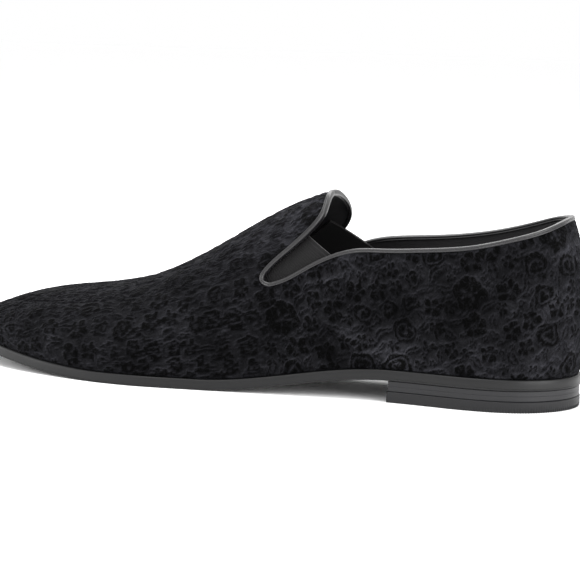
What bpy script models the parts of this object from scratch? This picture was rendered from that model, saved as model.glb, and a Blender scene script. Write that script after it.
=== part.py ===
"""Velvet slip-on loafer, left shoe, built as a shoemaker puts one together.

X runs along the shoe with the toe at -X and the heel at +X, the outer (lateral)
side faces -Y, Z is up and the shoe stands on the plane Z = 0, the origin under the
middle of the heel.
"""
import bmesh
import bpy
import numpy as np

# Driving sizes in metres
LENGTH = 0.308
BALL_WIDTH = 0.0985
HEEL_BACK = 0.044
SOLE_THICKNESS = 0.005
HEEL_HEIGHT = 0.010
TOE_SPRING = 0.0106
TOP_PIECE_HEIGHT = 0.0051
WALL = 0.0015
SOLE_MARGIN = 0.0013
LASTING_MARGIN = 0.009
INSOLE_THICKNESS = 0.0026
GORE_THICKNESS = 0.0012
BINDING_THICKNESS = 0.0006
BINDING_DEPTH = 0.0013
SOLE_EDGE_EASE = 0.0005
HEEL_INSET = 0.0005
LIFT_LINE_HEIGHT = 0.0074
LIFT_LINE_WIDTH = 0.0003
LIFT_LINE_DEPTH = 0.0003
TOP_PIECE_INSET = 0.0001
TOP_PIECE_EASE = 0.0003
RIB_HEIGHT = 0.0016
RIB_DEPTH = 0.0004

# Clearances between pieces in metres
CURVED_GAP = 0.0003
GLUED_GAP = 0.0001
INSOLE_SIDE_GAP = 0.0006
INSOLE_TOE_GAP = 0.0045

# Shares of the length, from the back of the heel
HEEL_BREAST = 0.2663
TOP_PIECE_BREAST = 0.2678
HEEL_SEAT_END = 0.2685
BALL_CONTACT = 0.5551
TOE_LIFT_START = 0.7172
BACK_CURVE_END = 0.20
TOE_TAPER_START = 0.88

# Shapes of the curves: power of the toe spring, and weight of rise against length along
# the tongue's edge
TOE_POWER = 1.6
RISE_WEIGHT = 0.19

# Outline of the outsole: share of length, outer and inner half width as shares of BALL_WIDTH
OUTLINE_ROWS = (
    # share, outer, inner
    (0.0000, -0.020, 0.020),
    (0.0227, 0.174, 0.200),
    (0.0714, 0.296, 0.309),
    (0.1445, 0.341, 0.330),
    (0.2652, 0.321, 0.307),
    (0.3659, 0.352, 0.274),
    (0.4666, 0.405, 0.290),
    (0.5672, 0.455, 0.384),
    (0.6629, 0.494, 0.474),
    (0.7383, 0.474, 0.494),
    (0.8088, 0.425, 0.462),
    (0.8792, 0.345, 0.385),
    (0.9496, 0.215, 0.265),
    (1.0000, -0.045, 0.045),
)

# Body of the last: widest half widths as shares of BALL_WIDTH, their height over the
# feather edge and the height of the ridge over the floor as shares of LENGTH, the side
# shift of the ridge as a share of BALL_WIDTH, and how full the section is
BODY_ROWS = (
    # share, outer, inner, body height, ridge height, ridge shift, fullness up, fullness across
    (0.0000, -0.020, 0.020, 0.0755, 0.5116, 0.050, 2.00, 2.00),
    (0.0227, 0.172, 0.198, 0.0750, 0.5116, 0.040, 2.00, 2.00),
    (0.0714, 0.296, 0.308, 0.0735, 0.5060, 0.020, 2.00, 2.00),
    (0.1445, 0.343, 0.334, 0.0704, 0.4400, 0.000, 2.20, 2.10),
    (0.2652, 0.335, 0.330, 0.0644, 0.3400, 0.000, 2.50, 2.30),
    (0.3810, 0.362, 0.346, 0.0604, 0.3020, -0.030, 2.60, 2.20),
    (0.4666, 0.400, 0.352, 0.0523, 0.2661, 0.000, 2.20, 2.05),
    (0.5672, 0.449, 0.394, 0.0402, 0.2063, 0.040, 1.90, 1.95),
    (0.6629, 0.484, 0.466, 0.0302, 0.1560, 0.060, 1.90, 2.00),
    (0.7383, 0.465, 0.484, 0.0242, 0.1339, 0.072, 1.95, 2.10),
    (0.8088, 0.417, 0.454, 0.0202, 0.1228, 0.078, 2.00, 2.15),
    (0.8792, 0.337, 0.377, 0.0181, 0.1097, 0.075, 2.00, 2.15),
    (0.9496, 0.207, 0.257, 0.0128, 0.0856, 0.062, 2.00, 2.10),
    (0.9852, 0.080, 0.145, 0.0079, 0.0698, 0.052, 2.00, 2.00),
    (1.0000, -0.045, 0.045, 0.0030, 0.0546, 0.045, 2.00, 2.00),
)

# Back curve of the heel: height over the feather edge and push backwards, shares of LENGTH
BACK_ROWS = (
    # height, push
    (0.000, 0.000),
    (0.080, 0.0125),
    (0.155, 0.0040),
    (0.235, -0.0220),
)

# Topline of the quarters from the foot of the notch to the back: share of length, height
# over the floor on the outer and the inner side as shares of LENGTH
TOPLINE_ROWS = (
    # share, outer, inner
    (0.4495, 0.1653, 0.1653),
    (0.4364, 0.1695, 0.1700),
    (0.4012, 0.1892, 0.1912),
    (0.3659, 0.2092, 0.2130),
    (0.3256, 0.2224, 0.2240),
    (0.2804, 0.2254, 0.2287),
    (0.2250, 0.2296, 0.2337),
    (0.1495, 0.2389, 0.2460),
    (0.0871, 0.2531, 0.2619),
    (0.0398, 0.2656, 0.2739),
    (0.0000, 0.2808, 0.2808),
)

# Front edge of the notch and back edge of the tongue: rise as a share of the girth left
# between the foot of the notch and the ridge, share of length on the outer and inner side
TONGUE_ROWS = (
    # rise, outer, inner
    (0.000, 0.4495, 0.4495),
    (0.030, 0.4585, 0.4585),
    (0.075, 0.4615, 0.4615),
    (0.130, 0.4565, 0.4520),
    (0.270, 0.4280, 0.4060),
    (0.420, 0.3985, 0.3838),
    (0.560, 0.3830, 0.3812),
    (0.700, 0.3818, 0.3840),
    (0.860, 0.3846, 0.3864),
    (1.000, 0.3878, 0.3878),
)

# Corners of the elastic gores, tucked behind the edges of the notch: share of length,
# height over the floor on the outer and the inner side as shares of LENGTH
GORE_CORNERS = {
    # share, outer, inner
    "front foot": (0.4967, 0.1812, 0.1812),
    "back foot": (0.4736, 0.1339, 0.1339),
    "front top": (0.4143, 0.2491, 0.2536),
    "back top": (0.3478, 0.2048, 0.2078),
}

# How finely the surfaces are faceted
WALL_STEPS = 7
TONGUE_STEPS = 14
VAMP_STEPS = 25
QUARTER_STEPS = 24
TURN_WEIGHT = 0.007
SECTION_STEPS = 72
SOLE_STEPS = 40
GORE_STEPS = 8
HEEL_STEPS = 24
RIB_STEPS = 70
LINE_STEPS = 200

# Small steps of the parameters for slopes and normals; the normal at the toe's tip is
# read a little below the ridge
PLAN_STEP = 2e-4
NORMAL_STEP = 1.5e-3
TIP_TURN = 0.9995
TIP_GIRTH = 0.9

# Colours of the materials, linear
VELVET_COLOUR = (0.011, 0.010, 0.011, 1.0)
LINING_COLOUR = (0.020, 0.019, 0.020, 1.0)
ELASTIC_COLOUR = (0.016, 0.015, 0.017, 1.0)
BINDING_COLOUR = (0.030, 0.029, 0.031, 1.0)
SOLE_COLOUR = (0.045, 0.045, 0.047, 1.0)
HEEL_COLOUR = (0.038, 0.038, 0.040, 1.0)
TOP_PIECE_COLOUR = (0.030, 0.030, 0.032, 1.0)


def turn_of(share):
    """Even parameter of a share of length: the arc cosine that rounds both ends."""
    return np.arccos(1 - 2 * np.asarray(share, float)) / np.pi


def share_of(turn):
    """Share of length of the even parameter."""
    return (1 - np.cos(np.pi * np.asarray(turn, float))) / 2


def smooth(knots, values, at):
    """Natural cubic curve through the table's rows, read at the asked places."""
    knots = np.asarray(knots, float)
    values = np.asarray(values, float)
    order = np.argsort(knots)
    knots = knots[order]
    values = values[order]
    gaps = np.diff(knots)
    slopes = np.diff(values) / gaps
    count = len(knots)
    system = np.eye(count)
    right = np.zeros(count)
    for row in range(1, count - 1):
        system[row, row - 1] = gaps[row - 1]
        system[row, row] = 2 * (gaps[row - 1] + gaps[row])
        system[row, row + 1] = gaps[row]
        right[row] = 6 * (slopes[row] - slopes[row - 1])
    bend = np.linalg.solve(system, right)
    at = np.asarray(at, float)
    piece = np.clip(np.searchsorted(knots, at) - 1, 0, count - 2)
    before = at - knots[piece]
    after = knots[piece + 1] - at
    gap = gaps[piece]
    cubes = (bend[piece] * after**3 + bend[piece + 1] * before**3) / (6 * gap)
    left = (values[piece] / gap - bend[piece] * gap / 6) * after
    return cubes + left + (values[piece + 1] / gap - bend[piece + 1] * gap / 6) * before


def column(rows, number, turn):
    """One column of a table of sections, read at the even parameter."""
    table = np.array(rows)
    return smooth(turn_of(table[:, 0]), table[:, number], turn)


def underside(turn):
    """Height of the outsole's underside: seat, waist, tread and toe spring."""
    share = share_of(turn)
    waist = np.clip((share - HEEL_SEAT_END) / (BALL_CONTACT - HEEL_SEAT_END), 0, 1)
    toe = np.clip((share - TOE_LIFT_START) / (1 - TOE_LIFT_START), 0, 1)
    return HEEL_HEIGHT * (1 - waist * waist * (3 - 2 * waist)) + TOE_SPRING * toe**TOE_POWER


def feather_height(turn):
    """Height of the edge where the upper turns under, above the outsole."""
    return underside(turn) + SOLE_THICKNESS + CURVED_GAP


def plan(around, inset):
    """Plan of the outsole moved inwards by the inset.

    The parameter goes round the shoe: -1 at the toe, 0 at the back of the heel, 1 at the
    toe again, with the outer side negative.
    """
    def edge(place):
        wrapped = (np.asarray(place, float) + 1) % 2 - 1
        turn = np.abs(wrapped)
        outer = -column(OUTLINE_ROWS, 1, turn)
        inner = column(OUTLINE_ROWS, 2, turn)
        half_width = np.where(wrapped < 0, outer, inner) * BALL_WIDTH
        return HEEL_BACK - LENGTH * share_of(turn), half_width

    x_before, y_before = edge(around - PLAN_STEP)
    x_after, y_after = edge(around + PLAN_STEP)
    x_along = x_after - x_before
    y_along = y_after - y_before
    length = np.hypot(x_along, y_along)
    x_mid, y_mid = edge(around)
    return x_mid - inset * y_along / length, y_mid + inset * x_along / length


def last(around, girth):
    """Outer surface of the upper, a smooth last.

    The girth runs from 0 at the feather edge to 1 at the ridge, even along each section.
    A section goes out from the feather edge to the widest body, then over to the ridge
    on an arch whose fullness comes from the table.
    """
    around = (np.asarray(around, float) + 1) % 2 - 1
    girth = np.asarray(girth, float)
    around = np.where(girth > 1, -around, around)
    girth = np.where(girth > 1, 2 - girth, girth)
    turn = np.abs(around)
    side = np.where(around < 0, -1.0, 1.0)
    foot = feather_height(turn)
    x_foot, y_foot = plan(around, SOLE_MARGIN)
    x_other, y_other = plan(-around, SOLE_MARGIN)
    outer = column(BODY_ROWS, 1, turn)
    inner = column(BODY_ROWS, 2, turn)
    y_body = side * np.where(side < 0, outer, inner) * BALL_WIDTH
    z_body = foot + column(BODY_ROWS, 3, turn) * LENGTH
    z_ridge = column(BODY_ROWS, 4, turn) * LENGTH
    y_ridge = column(BODY_ROWS, 5, turn) * BALL_WIDTH
    up = 2 / column(BODY_ROWS, 6, turn)
    across = 2 / column(BODY_ROWS, 7, turn)

    swing = np.linspace(0, np.pi / 2, SECTION_STEPS)
    climb = np.linspace(0, 1, SECTION_STEPS // 4)[:-1]

    def spread(values):
        return values[..., None]

    low_y = spread(y_body) + spread(y_foot - y_body) * (1 - climb) ** 2
    low_z = spread(foot) + spread(z_body - foot) * climb
    high_y = spread(y_ridge) + spread(y_body - y_ridge) * np.cos(swing) ** spread(across)
    high_z = spread(z_body) + spread(z_ridge - z_body) * np.sin(swing) ** spread(up)
    high_y[..., -1] = y_ridge
    y_all = np.concatenate([low_y, high_y], axis=-1)
    z_all = np.concatenate([low_z, high_z], axis=-1)
    steps = np.hypot(np.diff(y_all, axis=-1), np.diff(z_all, axis=-1))
    run = np.concatenate([np.zeros(steps.shape[:-1] + (1,)), np.cumsum(steps, axis=-1)], axis=-1)
    goal = girth * run[..., -1]
    piece = np.clip((run < spread(goal)).sum(axis=-1) - 1, 0, run.shape[-1] - 2)

    def pick(values, number):
        return np.take_along_axis(values, spread(number), axis=-1)[..., 0]

    start = pick(run, piece)
    part = (goal - start) / np.maximum(pick(run, piece + 1) - start, 1e-12)
    y = pick(y_all, piece) * (1 - part) + pick(y_all, piece + 1) * part
    z = pick(z_all, piece) * (1 - part) + pick(z_all, piece + 1) * part
    x_middle = (x_foot + x_other) / 2
    x = x_foot + (x_middle - x_foot) * girth**2
    back = np.array(BACK_ROWS)
    push = smooth(back[:, 0], back[:, 1], (z - foot) / LENGTH) * LENGTH
    fade = np.clip(1 - share_of(turn) / BACK_CURVE_END, 0, 1) ** 2
    return np.stack([x + push * fade, y, z], axis=-1)


def outward(around, girth):
    """Unit normal of the last."""
    around = np.asarray(around, float)
    girth = np.asarray(girth, float)
    at_tip = np.abs(around) > TIP_TURN
    girth = np.where(at_tip, np.minimum(girth, TIP_GIRTH), girth)
    low = np.maximum(girth - NORMAL_STEP, 0)
    along = last(around + NORMAL_STEP, girth) - last(around - NORMAL_STEP, girth)
    over = last(around, girth + NORMAL_STEP) - last(around, low)
    normal = np.cross(along, over)
    return normal / np.linalg.norm(normal, axis=-1, keepdims=True)


def offset(around, girth, depth):
    """Surface parallel to the last, inwards by the depth."""
    return last(around, girth) - outward(around, girth) * depth


def girth_at(around, height):
    """Share of the girth where a section reaches a height over the floor."""
    low = np.zeros(np.shape(around))
    high = np.ones(np.shape(around))
    for _ in range(30):
        middle = (low + high) / 2
        below = last(around, middle)[..., 2] < height
        low = np.where(below, middle, low)
        high = np.where(below, high, middle)
    return (low + high) / 2


def evenly(around, girth, count):
    """Places along a line on the last, equal steps apart but closer where it turns."""
    points = last(around, girth)
    steps = np.diff(points, axis=0)
    lengths = np.linalg.norm(steps, axis=-1)
    ways = steps / lengths[:, None]
    turns = np.zeros(len(lengths))
    turns[1:] = np.linalg.norm(np.diff(ways, axis=0), axis=-1)
    run = np.concatenate([[0], np.cumsum(lengths + TURN_WEIGHT * turns)])
    goals = np.linspace(0, run[-1], count)
    return np.interp(goals, run, around), np.interp(goals, run, girth)


def along_rows(rows, weight):
    """Both columns of a table as one smooth line through its rows."""
    table = np.array(rows)
    steps = np.hypot(np.diff(table[:, 0]), weight * np.diff(table[:, 1]))
    run = np.concatenate([[0], np.cumsum(steps)])
    places = np.linspace(0, run[-1], LINE_STEPS)
    return smooth(run, table[:, 0], places), smooth(run, table[:, 1], places)


def side_column(side):
    """Column of a table that holds the side's own value: the outer one, then the inner."""
    return 1 if side < 0 else 2


def quarter_top(side):
    """Top edge of one quarter, from the foot of the notch to the back of the heel."""
    table = np.array(TOPLINE_ROWS)
    share, height = along_rows(table[:, [0, side_column(side)]], 1.0)
    around = side * turn_of(np.clip(share, 0, 1))
    return around, girth_at(around, height * LENGTH)


def tongue_edge(side):
    """Back edge of the vamp, from the foot of the notch to the ridge."""
    table = np.array(TONGUE_ROWS)
    share, rise = along_rows(table[:, [side_column(side), 0]], RISE_WEIGHT)
    around = side * turn_of(share)
    foot_share, foot_height = TOPLINE_ROWS[0][:2]
    foot = girth_at(np.array([side * turn_of(foot_share)]), foot_height * LENGTH)[0]
    return around, foot + (1 - foot) * np.clip(rise, 0, 1)


def make(name, points, faces, material, collection):
    """Closed object from points and faces, with coincident points joined."""
    mesh = bpy.data.meshes.new(name)
    mesh.from_pydata([tuple(point) for point in points], [], faces)
    work = bmesh.new()
    work.from_mesh(mesh)
    bmesh.ops.remove_doubles(work, verts=work.verts, dist=1e-6)
    bmesh.ops.dissolve_degenerate(work, dist=1e-7, edges=work.edges)
    bmesh.ops.recalc_face_normals(work, faces=work.faces)
    work.to_mesh(mesh)
    work.free()
    thing = bpy.data.objects.new(name, mesh)
    mesh.materials.append(material)
    collection.objects.link(thing)
    return thing


def material(name, colour, roughness):
    """Plain principled material."""
    made = bpy.data.materials.new(name)
    made.use_nodes = True
    shader = made.node_tree.nodes["Principled BSDF"]
    shader.inputs["Base Color"].default_value = colour
    shader.inputs["Roughness"].default_value = roughness
    made.diffuse_color = colour
    return made


def band_faces(first, second):
    """Quads between two closed rings of point numbers."""
    count = len(first)
    faces = []
    for place in range(count):
        after = (place + 1) % count
        faces.append((first[place], first[after], second[after], second[place]))
    return faces


def upper_solid():
    """Vamp with tongue and both quarters as one shell with a turned-under margin."""
    points = []
    faces = []

    def add(rows):
        first = len(points)
        points.extend(rows)
        return list(range(first, len(points)))

    def margin(around, side_order):
        x, y = plan(around, SOLE_MARGIN + LASTING_MARGIN)
        low = feather_height(np.abs(around))
        bottom = [x, y, low]
        top = [x, y, low + WALL]
        return [top, bottom] if side_order < 0 else [bottom, top]

    def inner_foot(around):
        x, y = plan(around, SOLE_MARGIN + WALL)
        return np.array([x, y, feather_height(np.abs(around)) + WALL])

    # Vamp and tongue: arches from the toe back to the notch and the tongue's edge
    half = WALL_STEPS + TONGUE_STEPS
    foot_share, foot_height = TOPLINE_ROWS[0][:2]
    rear = {}
    for side in (-1, 1):
        foot_around = side * turn_of(foot_share)
        foot_girth = girth_at(np.array([foot_around]), foot_height * LENGTH)[0]
        edge_around, edge_girth = evenly(*tongue_edge(side), TONGUE_STEPS + 1)
        rib_girth = np.linspace(0, foot_girth, WALL_STEPS + 1)
        rear[side] = (
            np.concatenate([np.full(WALL_STEPS, foot_around), edge_around]),
            np.concatenate([rib_girth[:-1], edge_girth]),
        )
    toe_girth = np.linspace(0, 1, half + 1)
    rings = []
    for step in range(VAMP_STEPS + 1):
        back = step / VAMP_STEPS
        ease = back * back * (3 - 2 * back)
        sides = []
        for side in (-1, 1):
            rear_around, rear_girth = rear[side]
            around = side * (1 + (np.abs(rear_around) - 1) * back)
            girth = toe_girth + (rear_girth - toe_girth) * ease
            sides.append((around, girth))
        around = np.concatenate([sides[0][0], sides[1][0][::-1][1:]])
        girth = np.concatenate([sides[0][1], sides[1][1][::-1][1:]])
        skin = last(around, girth)
        lining = offset(around, girth, WALL)
        lining[0] = inner_foot(around[0])
        lining[-1] = inner_foot(around[-1])
        outside = add(skin)
        inner_margin = add(margin(around[-1], 1))
        inside = add(lining[::-1])
        outer_margin = add(margin(around[0], -1))
        rings.append((outside, inner_margin, inside, outer_margin))
    closed = [sum(ring, []) for ring in rings]
    for first, second in zip(closed[:-1], closed[1:]):
        faces += band_faces(first, second)
    outside, _, inside, _ = rings[-1]
    inside = inside[::-1]
    for place in range(WALL_STEPS, len(outside) - 1 - WALL_STEPS):
        faces.append((outside[place], inside[place], inside[place + 1], outside[place + 1]))

    # Quarters: ribs from the outer notch round the heel to the inner notch
    edges = []
    for side in (-1, 1):
        edges.append(evenly(*quarter_top(side), QUARTER_STEPS + 1))
    around_top = np.concatenate([edges[0][0], edges[1][0][::-1][1:]])
    girth_top = np.concatenate([edges[0][1], edges[1][1][::-1][1:]])
    previous = None
    for place, (around, top) in enumerate(zip(around_top, girth_top)):
        girth = np.linspace(0, top, WALL_STEPS + 1)
        spot = np.full(WALL_STEPS + 1, around)
        lining = offset(spot, girth, WALL)
        lining[0] = inner_foot(around)
        ring = add(last(spot, girth)) + add(lining[::-1]) + add(margin(around, -1))
        if previous:
            faces += band_faces(previous, ring)
        previous = ring
    return points, faces


def slab(loops):
    """Solid between plan loops: walls from loop to loop, first and last loop capped."""
    points = []
    faces = []
    rings = []
    for loop in loops:
        first = len(points)
        points.extend(loop)
        rings.append(list(range(first, len(points))))
    for first, second in zip(rings[:-1], rings[1:]):
        faces += band_faces(first, second)
    for ring in (rings[0], rings[-1]):
        count = len(ring)
        for place in range((count - 1) // 2):
            corners = (ring[place], ring[place + 1], ring[count - 2 - place], ring[count - 1 - place])
            faces.append(tuple(dict.fromkeys(corners)))
    return points, faces


def loop_at(around, inset, height):
    """Plan loop at a height, or on a surface when the height is an array."""
    x, y = plan(around, inset)
    return np.stack([x, y, np.broadcast_to(height, x.shape)], axis=-1)


def round_shoe(steps):
    """Even places all the way round, from the toe over the outer side."""
    return np.linspace(-1, 1, 2 * steps + 1)


def outsole_solid():
    """Outsole with true outline, arch and toe spring, its edges slightly eased."""
    around = round_shoe(SOLE_STEPS)
    low = underside(np.abs(around))
    top = low + SOLE_THICKNESS
    return slab([
        loop_at(around, SOLE_EDGE_EASE, low),
        loop_at(around, 0.0, low + SOLE_EDGE_EASE),
        loop_at(around, 0.0, top - SOLE_EDGE_EASE),
        loop_at(around, SOLE_EDGE_EASE, top),
    ])


def insole_solid():
    """Sock and insole board over the margin, with the filler that fits inside it."""
    around = round_shoe(SOLE_STEPS)
    foot = feather_height(np.abs(around))
    near_toe = np.clip((share_of(np.abs(around)) - TOE_TAPER_START) / (1 - TOE_TAPER_START), 0, 1)
    board = SOLE_MARGIN + WALL + INSOLE_SIDE_GAP + INSOLE_TOE_GAP * near_toe**2
    filler = SOLE_MARGIN + LASTING_MARGIN + CURVED_GAP
    ledge = foot + WALL + GLUED_GAP
    return slab([
        loop_at(around, filler, foot),
        loop_at(around, filler, ledge),
        loop_at(around, board, ledge),
        loop_at(around, board, ledge + INSOLE_THICKNESS),
    ])


def heel_places(steps, breast):
    """Places round the heel from breast to breast."""
    return np.linspace(-1, 1, 2 * steps + 1) * turn_of(breast)


def heel_block_solid():
    """Stacked heel under the outsole, with the line between its two lifts."""
    around = heel_places(HEEL_STEPS, HEEL_BREAST)
    deep = HEEL_INSET + LIFT_LINE_DEPTH
    return slab([
        loop_at(around, HEEL_INSET, TOP_PIECE_HEIGHT + GLUED_GAP),
        loop_at(around, HEEL_INSET, LIFT_LINE_HEIGHT),
        loop_at(around, deep, LIFT_LINE_HEIGHT + LIFT_LINE_WIDTH / 3),
        loop_at(around, deep, LIFT_LINE_HEIGHT + LIFT_LINE_WIDTH * 2 / 3),
        loop_at(around, HEEL_INSET, LIFT_LINE_HEIGHT + LIFT_LINE_WIDTH),
        loop_at(around, HEEL_INSET, HEEL_HEIGHT - GLUED_GAP),
    ])


def top_piece_solid():
    """Rubber top piece, a little proud of the block, its lower edge finely ribbed."""
    around = heel_places(RIB_STEPS, TOP_PIECE_BREAST)
    ribs = np.where(np.arange(len(around)) % 2 == 0, 0.0, RIB_DEPTH)
    ribs[:2] = 0
    ribs[-2:] = 0
    return slab([
        loop_at(around, ribs + TOP_PIECE_INSET, 0.0),
        loop_at(around, ribs, RIB_HEIGHT),
        loop_at(around, TOP_PIECE_INSET, RIB_HEIGHT + TOP_PIECE_EASE),
        loop_at(around, TOP_PIECE_INSET, TOP_PIECE_HEIGHT - TOP_PIECE_EASE),
        loop_at(around, TOP_PIECE_INSET + TOP_PIECE_EASE, TOP_PIECE_HEIGHT),
    ])


def edge_line():
    """Closed line along the whole edge of the upper, at the corners of its facets."""
    halves = []
    for side in (-1, 1):
        tongue = evenly(*tongue_edge(side), TONGUE_STEPS + 1)
        quarter = evenly(*quarter_top(side), QUARTER_STEPS + 1)
        halves.append([np.concatenate([t[::-1], q[1:]]) for t, q in zip(tongue, quarter)])
    outer, inner = halves
    around = np.concatenate([outer[0], inner[0][::-1][1:-1]])
    girth = np.concatenate([outer[1], inner[1][::-1][1:-1]])
    return around, girth


def binding_solid():
    """Leather binding, a U in section, folded over the edge of the upper."""
    around, girth = edge_line()
    skin = last(around, girth)
    normal = outward(around, girth)
    tangent = np.roll(skin, -1, axis=0) - np.roll(skin, 1, axis=0)
    tangent /= np.linalg.norm(tangent, axis=-1, keepdims=True)
    normal -= (normal * tangent).sum(axis=-1, keepdims=True) * tangent
    normal /= np.linalg.norm(normal, axis=-1, keepdims=True)
    rise = np.cross(normal, tangent)
    middle = skin - normal * WALL / 2
    clear = WALL / 2 + CURVED_GAP
    full = clear + BINDING_THICKNESS
    crown = GLUED_GAP + BINDING_THICKNESS
    section = (
        (full, -BINDING_DEPTH),
        (full, -0.2 * crown),
        (0.72 * full, 0.65 * crown),
        (0.0, crown),
        (-0.72 * full, 0.65 * crown),
        (-full, -0.2 * crown),
        (-full, -BINDING_DEPTH),
        (-clear, -BINDING_DEPTH),
        (-clear, GLUED_GAP),
        (clear, GLUED_GAP),
        (clear, -BINDING_DEPTH),
    )
    points = []
    for out, up in section:
        points.append(middle + normal * out + rise * up)
    points = np.stack(points, axis=1)
    count, size = points.shape[:2]
    rings = np.arange(count * size).reshape(count, size).tolist()
    faces = []
    for place in range(count):
        faces += band_faces(rings[place], rings[(place + 1) % count])
    return points.reshape(-1, 3), faces


def gore_solid(side):
    """Elastic gore, a thin sheet that follows the last behind the notch."""
    corner = {}
    for name, place in GORE_CORNERS.items():
        corner[name] = np.array([place[0], place[side_column(side)]])
    steps = np.linspace(0, 1, GORE_STEPS + 1)
    up, back = np.meshgrid(steps, steps, indexing="ij")
    up = up[..., None]
    back = back[..., None]
    foot = corner["front foot"] * (1 - back) + corner["back foot"] * back
    top = corner["front top"] * (1 - back) + corner["back top"] * back
    place = foot * (1 - up) + top * up
    around = side * turn_of(place[..., 0])
    girth = girth_at(around, place[..., 1] * LENGTH)
    near = WALL + 2 * CURVED_GAP + BINDING_THICKNESS
    front = offset(around, girth, near)
    rear = offset(around, girth, near + GORE_THICKNESS)
    points = []
    rings = []
    for row in range(GORE_STEPS + 1):
        first = len(points)
        points.extend(front[row])
        points.extend(rear[row][::-1])
        rings.append(list(range(first, len(points))))
    faces = []
    for first, second in zip(rings[:-1], rings[1:]):
        faces += band_faces(first, second)
    size = GORE_STEPS + 1
    for ring in (rings[0], rings[-1]):
        for place in range(size - 1):
            across = 2 * size - 1 - place
            faces.append((ring[place], ring[place + 1], ring[across - 1], ring[across]))
    return points, faces


def build():
    """All pieces of the shoe in one collection."""
    for thing in list(bpy.data.objects):
        bpy.data.objects.remove(thing, do_unlink=True)
    shoe = bpy.data.collections.new("velvet_loafer")
    bpy.context.scene.collection.children.link(shoe)
    velvet = material("velvet", VELVET_COLOUR, 0.9)
    velvet.node_tree.nodes["Principled BSDF"].inputs["Sheen Weight"].default_value = 0.3
    make("upper", *upper_solid(), velvet, shoe)
    make("topline_binding", *binding_solid(), material("binding_leather", BINDING_COLOUR, 0.35), shoe)
    make("gore_outer", *gore_solid(-1), material("elastic_outer", ELASTIC_COLOUR, 0.8), shoe)
    make("gore_inner", *gore_solid(1), material("elastic_inner", ELASTIC_COLOUR, 0.8), shoe)
    make("insole", *insole_solid(), material("insole_leather", LINING_COLOUR, 0.6), shoe)
    make("outsole", *outsole_solid(), material("outsole_rubber", SOLE_COLOUR, 0.5), shoe)
    make("heel_block", *heel_block_solid(), material("heel_rubber", HEEL_COLOUR, 0.5), shoe)
    make("top_piece", *top_piece_solid(), material("top_piece_rubber", TOP_PIECE_COLOUR, 0.6), shoe)


build()
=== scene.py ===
"""Black velvet slip-on loafer with raised flowers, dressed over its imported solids.

The frame is that of the solids: the toe at -X, the heel at +X, the outer side faces -Y,
the shoe stands on Z = 0. Sizes are in metres unless a name ends in _MM.
"""

import bmesh
import bpy
import numpy as np
from mathutils import Matrix, Vector


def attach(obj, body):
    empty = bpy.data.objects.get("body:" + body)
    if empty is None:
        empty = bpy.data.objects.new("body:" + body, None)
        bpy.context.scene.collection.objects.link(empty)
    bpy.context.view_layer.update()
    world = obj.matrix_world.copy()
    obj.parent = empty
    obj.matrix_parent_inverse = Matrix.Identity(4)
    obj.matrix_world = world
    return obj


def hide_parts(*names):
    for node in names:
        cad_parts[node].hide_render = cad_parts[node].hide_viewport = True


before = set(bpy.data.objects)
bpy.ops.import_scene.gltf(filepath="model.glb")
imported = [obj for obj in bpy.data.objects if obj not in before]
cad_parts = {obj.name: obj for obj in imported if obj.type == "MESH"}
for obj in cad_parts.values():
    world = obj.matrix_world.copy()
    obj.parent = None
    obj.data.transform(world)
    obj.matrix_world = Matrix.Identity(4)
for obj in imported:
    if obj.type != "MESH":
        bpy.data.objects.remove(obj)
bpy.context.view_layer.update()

# Sizes of the last and the sole, as in the solids
LENGTH = 0.308
BALL_WIDTH = 0.0985
HEEL_BACK = 0.044
SOLE_THICKNESS = 0.005
HEEL_HEIGHT = 0.010
TOE_SPRING = 0.0106
TOP_PIECE_HEIGHT = 0.0051
WALL = 0.0015
SOLE_MARGIN = 0.0013
INSOLE_THICKNESS = 0.0026
INSOLE_SIDE_GAP = 0.0006
INSOLE_TOE_GAP = 0.0045
HEEL_INSET = 0.0005
LIFT_LINE_HEIGHT = 0.0074
GORE_THICKNESS = 0.0012
BINDING_THICKNESS = 0.0006
CURVED_GAP = 0.0003
GLUED_GAP = 0.0001
HEEL_BREAST = 0.2663
TOP_PIECE_BREAST = 0.2678
HEEL_SEAT_END = 0.2685
BALL_CONTACT = 0.5551
TOE_LIFT_START = 0.7172
BACK_CURVE_END = 0.20
TOE_TAPER_START = 0.88
TOE_POWER = 1.6
RISE_WEIGHT = 0.19

OUTLINE_ROWS = (
    # share of length, outer and inner half width as shares of BALL_WIDTH
    (0.0000, -0.020, 0.020),
    (0.0227, 0.174, 0.200),
    (0.0714, 0.296, 0.309),
    (0.1445, 0.341, 0.330),
    (0.2652, 0.321, 0.307),
    (0.3659, 0.352, 0.274),
    (0.4666, 0.405, 0.290),
    (0.5672, 0.455, 0.384),
    (0.6629, 0.494, 0.474),
    (0.7383, 0.474, 0.494),
    (0.8088, 0.425, 0.462),
    (0.8792, 0.345, 0.385),
    (0.9496, 0.215, 0.265),
    (1.0000, -0.045, 0.045),
)

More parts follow.
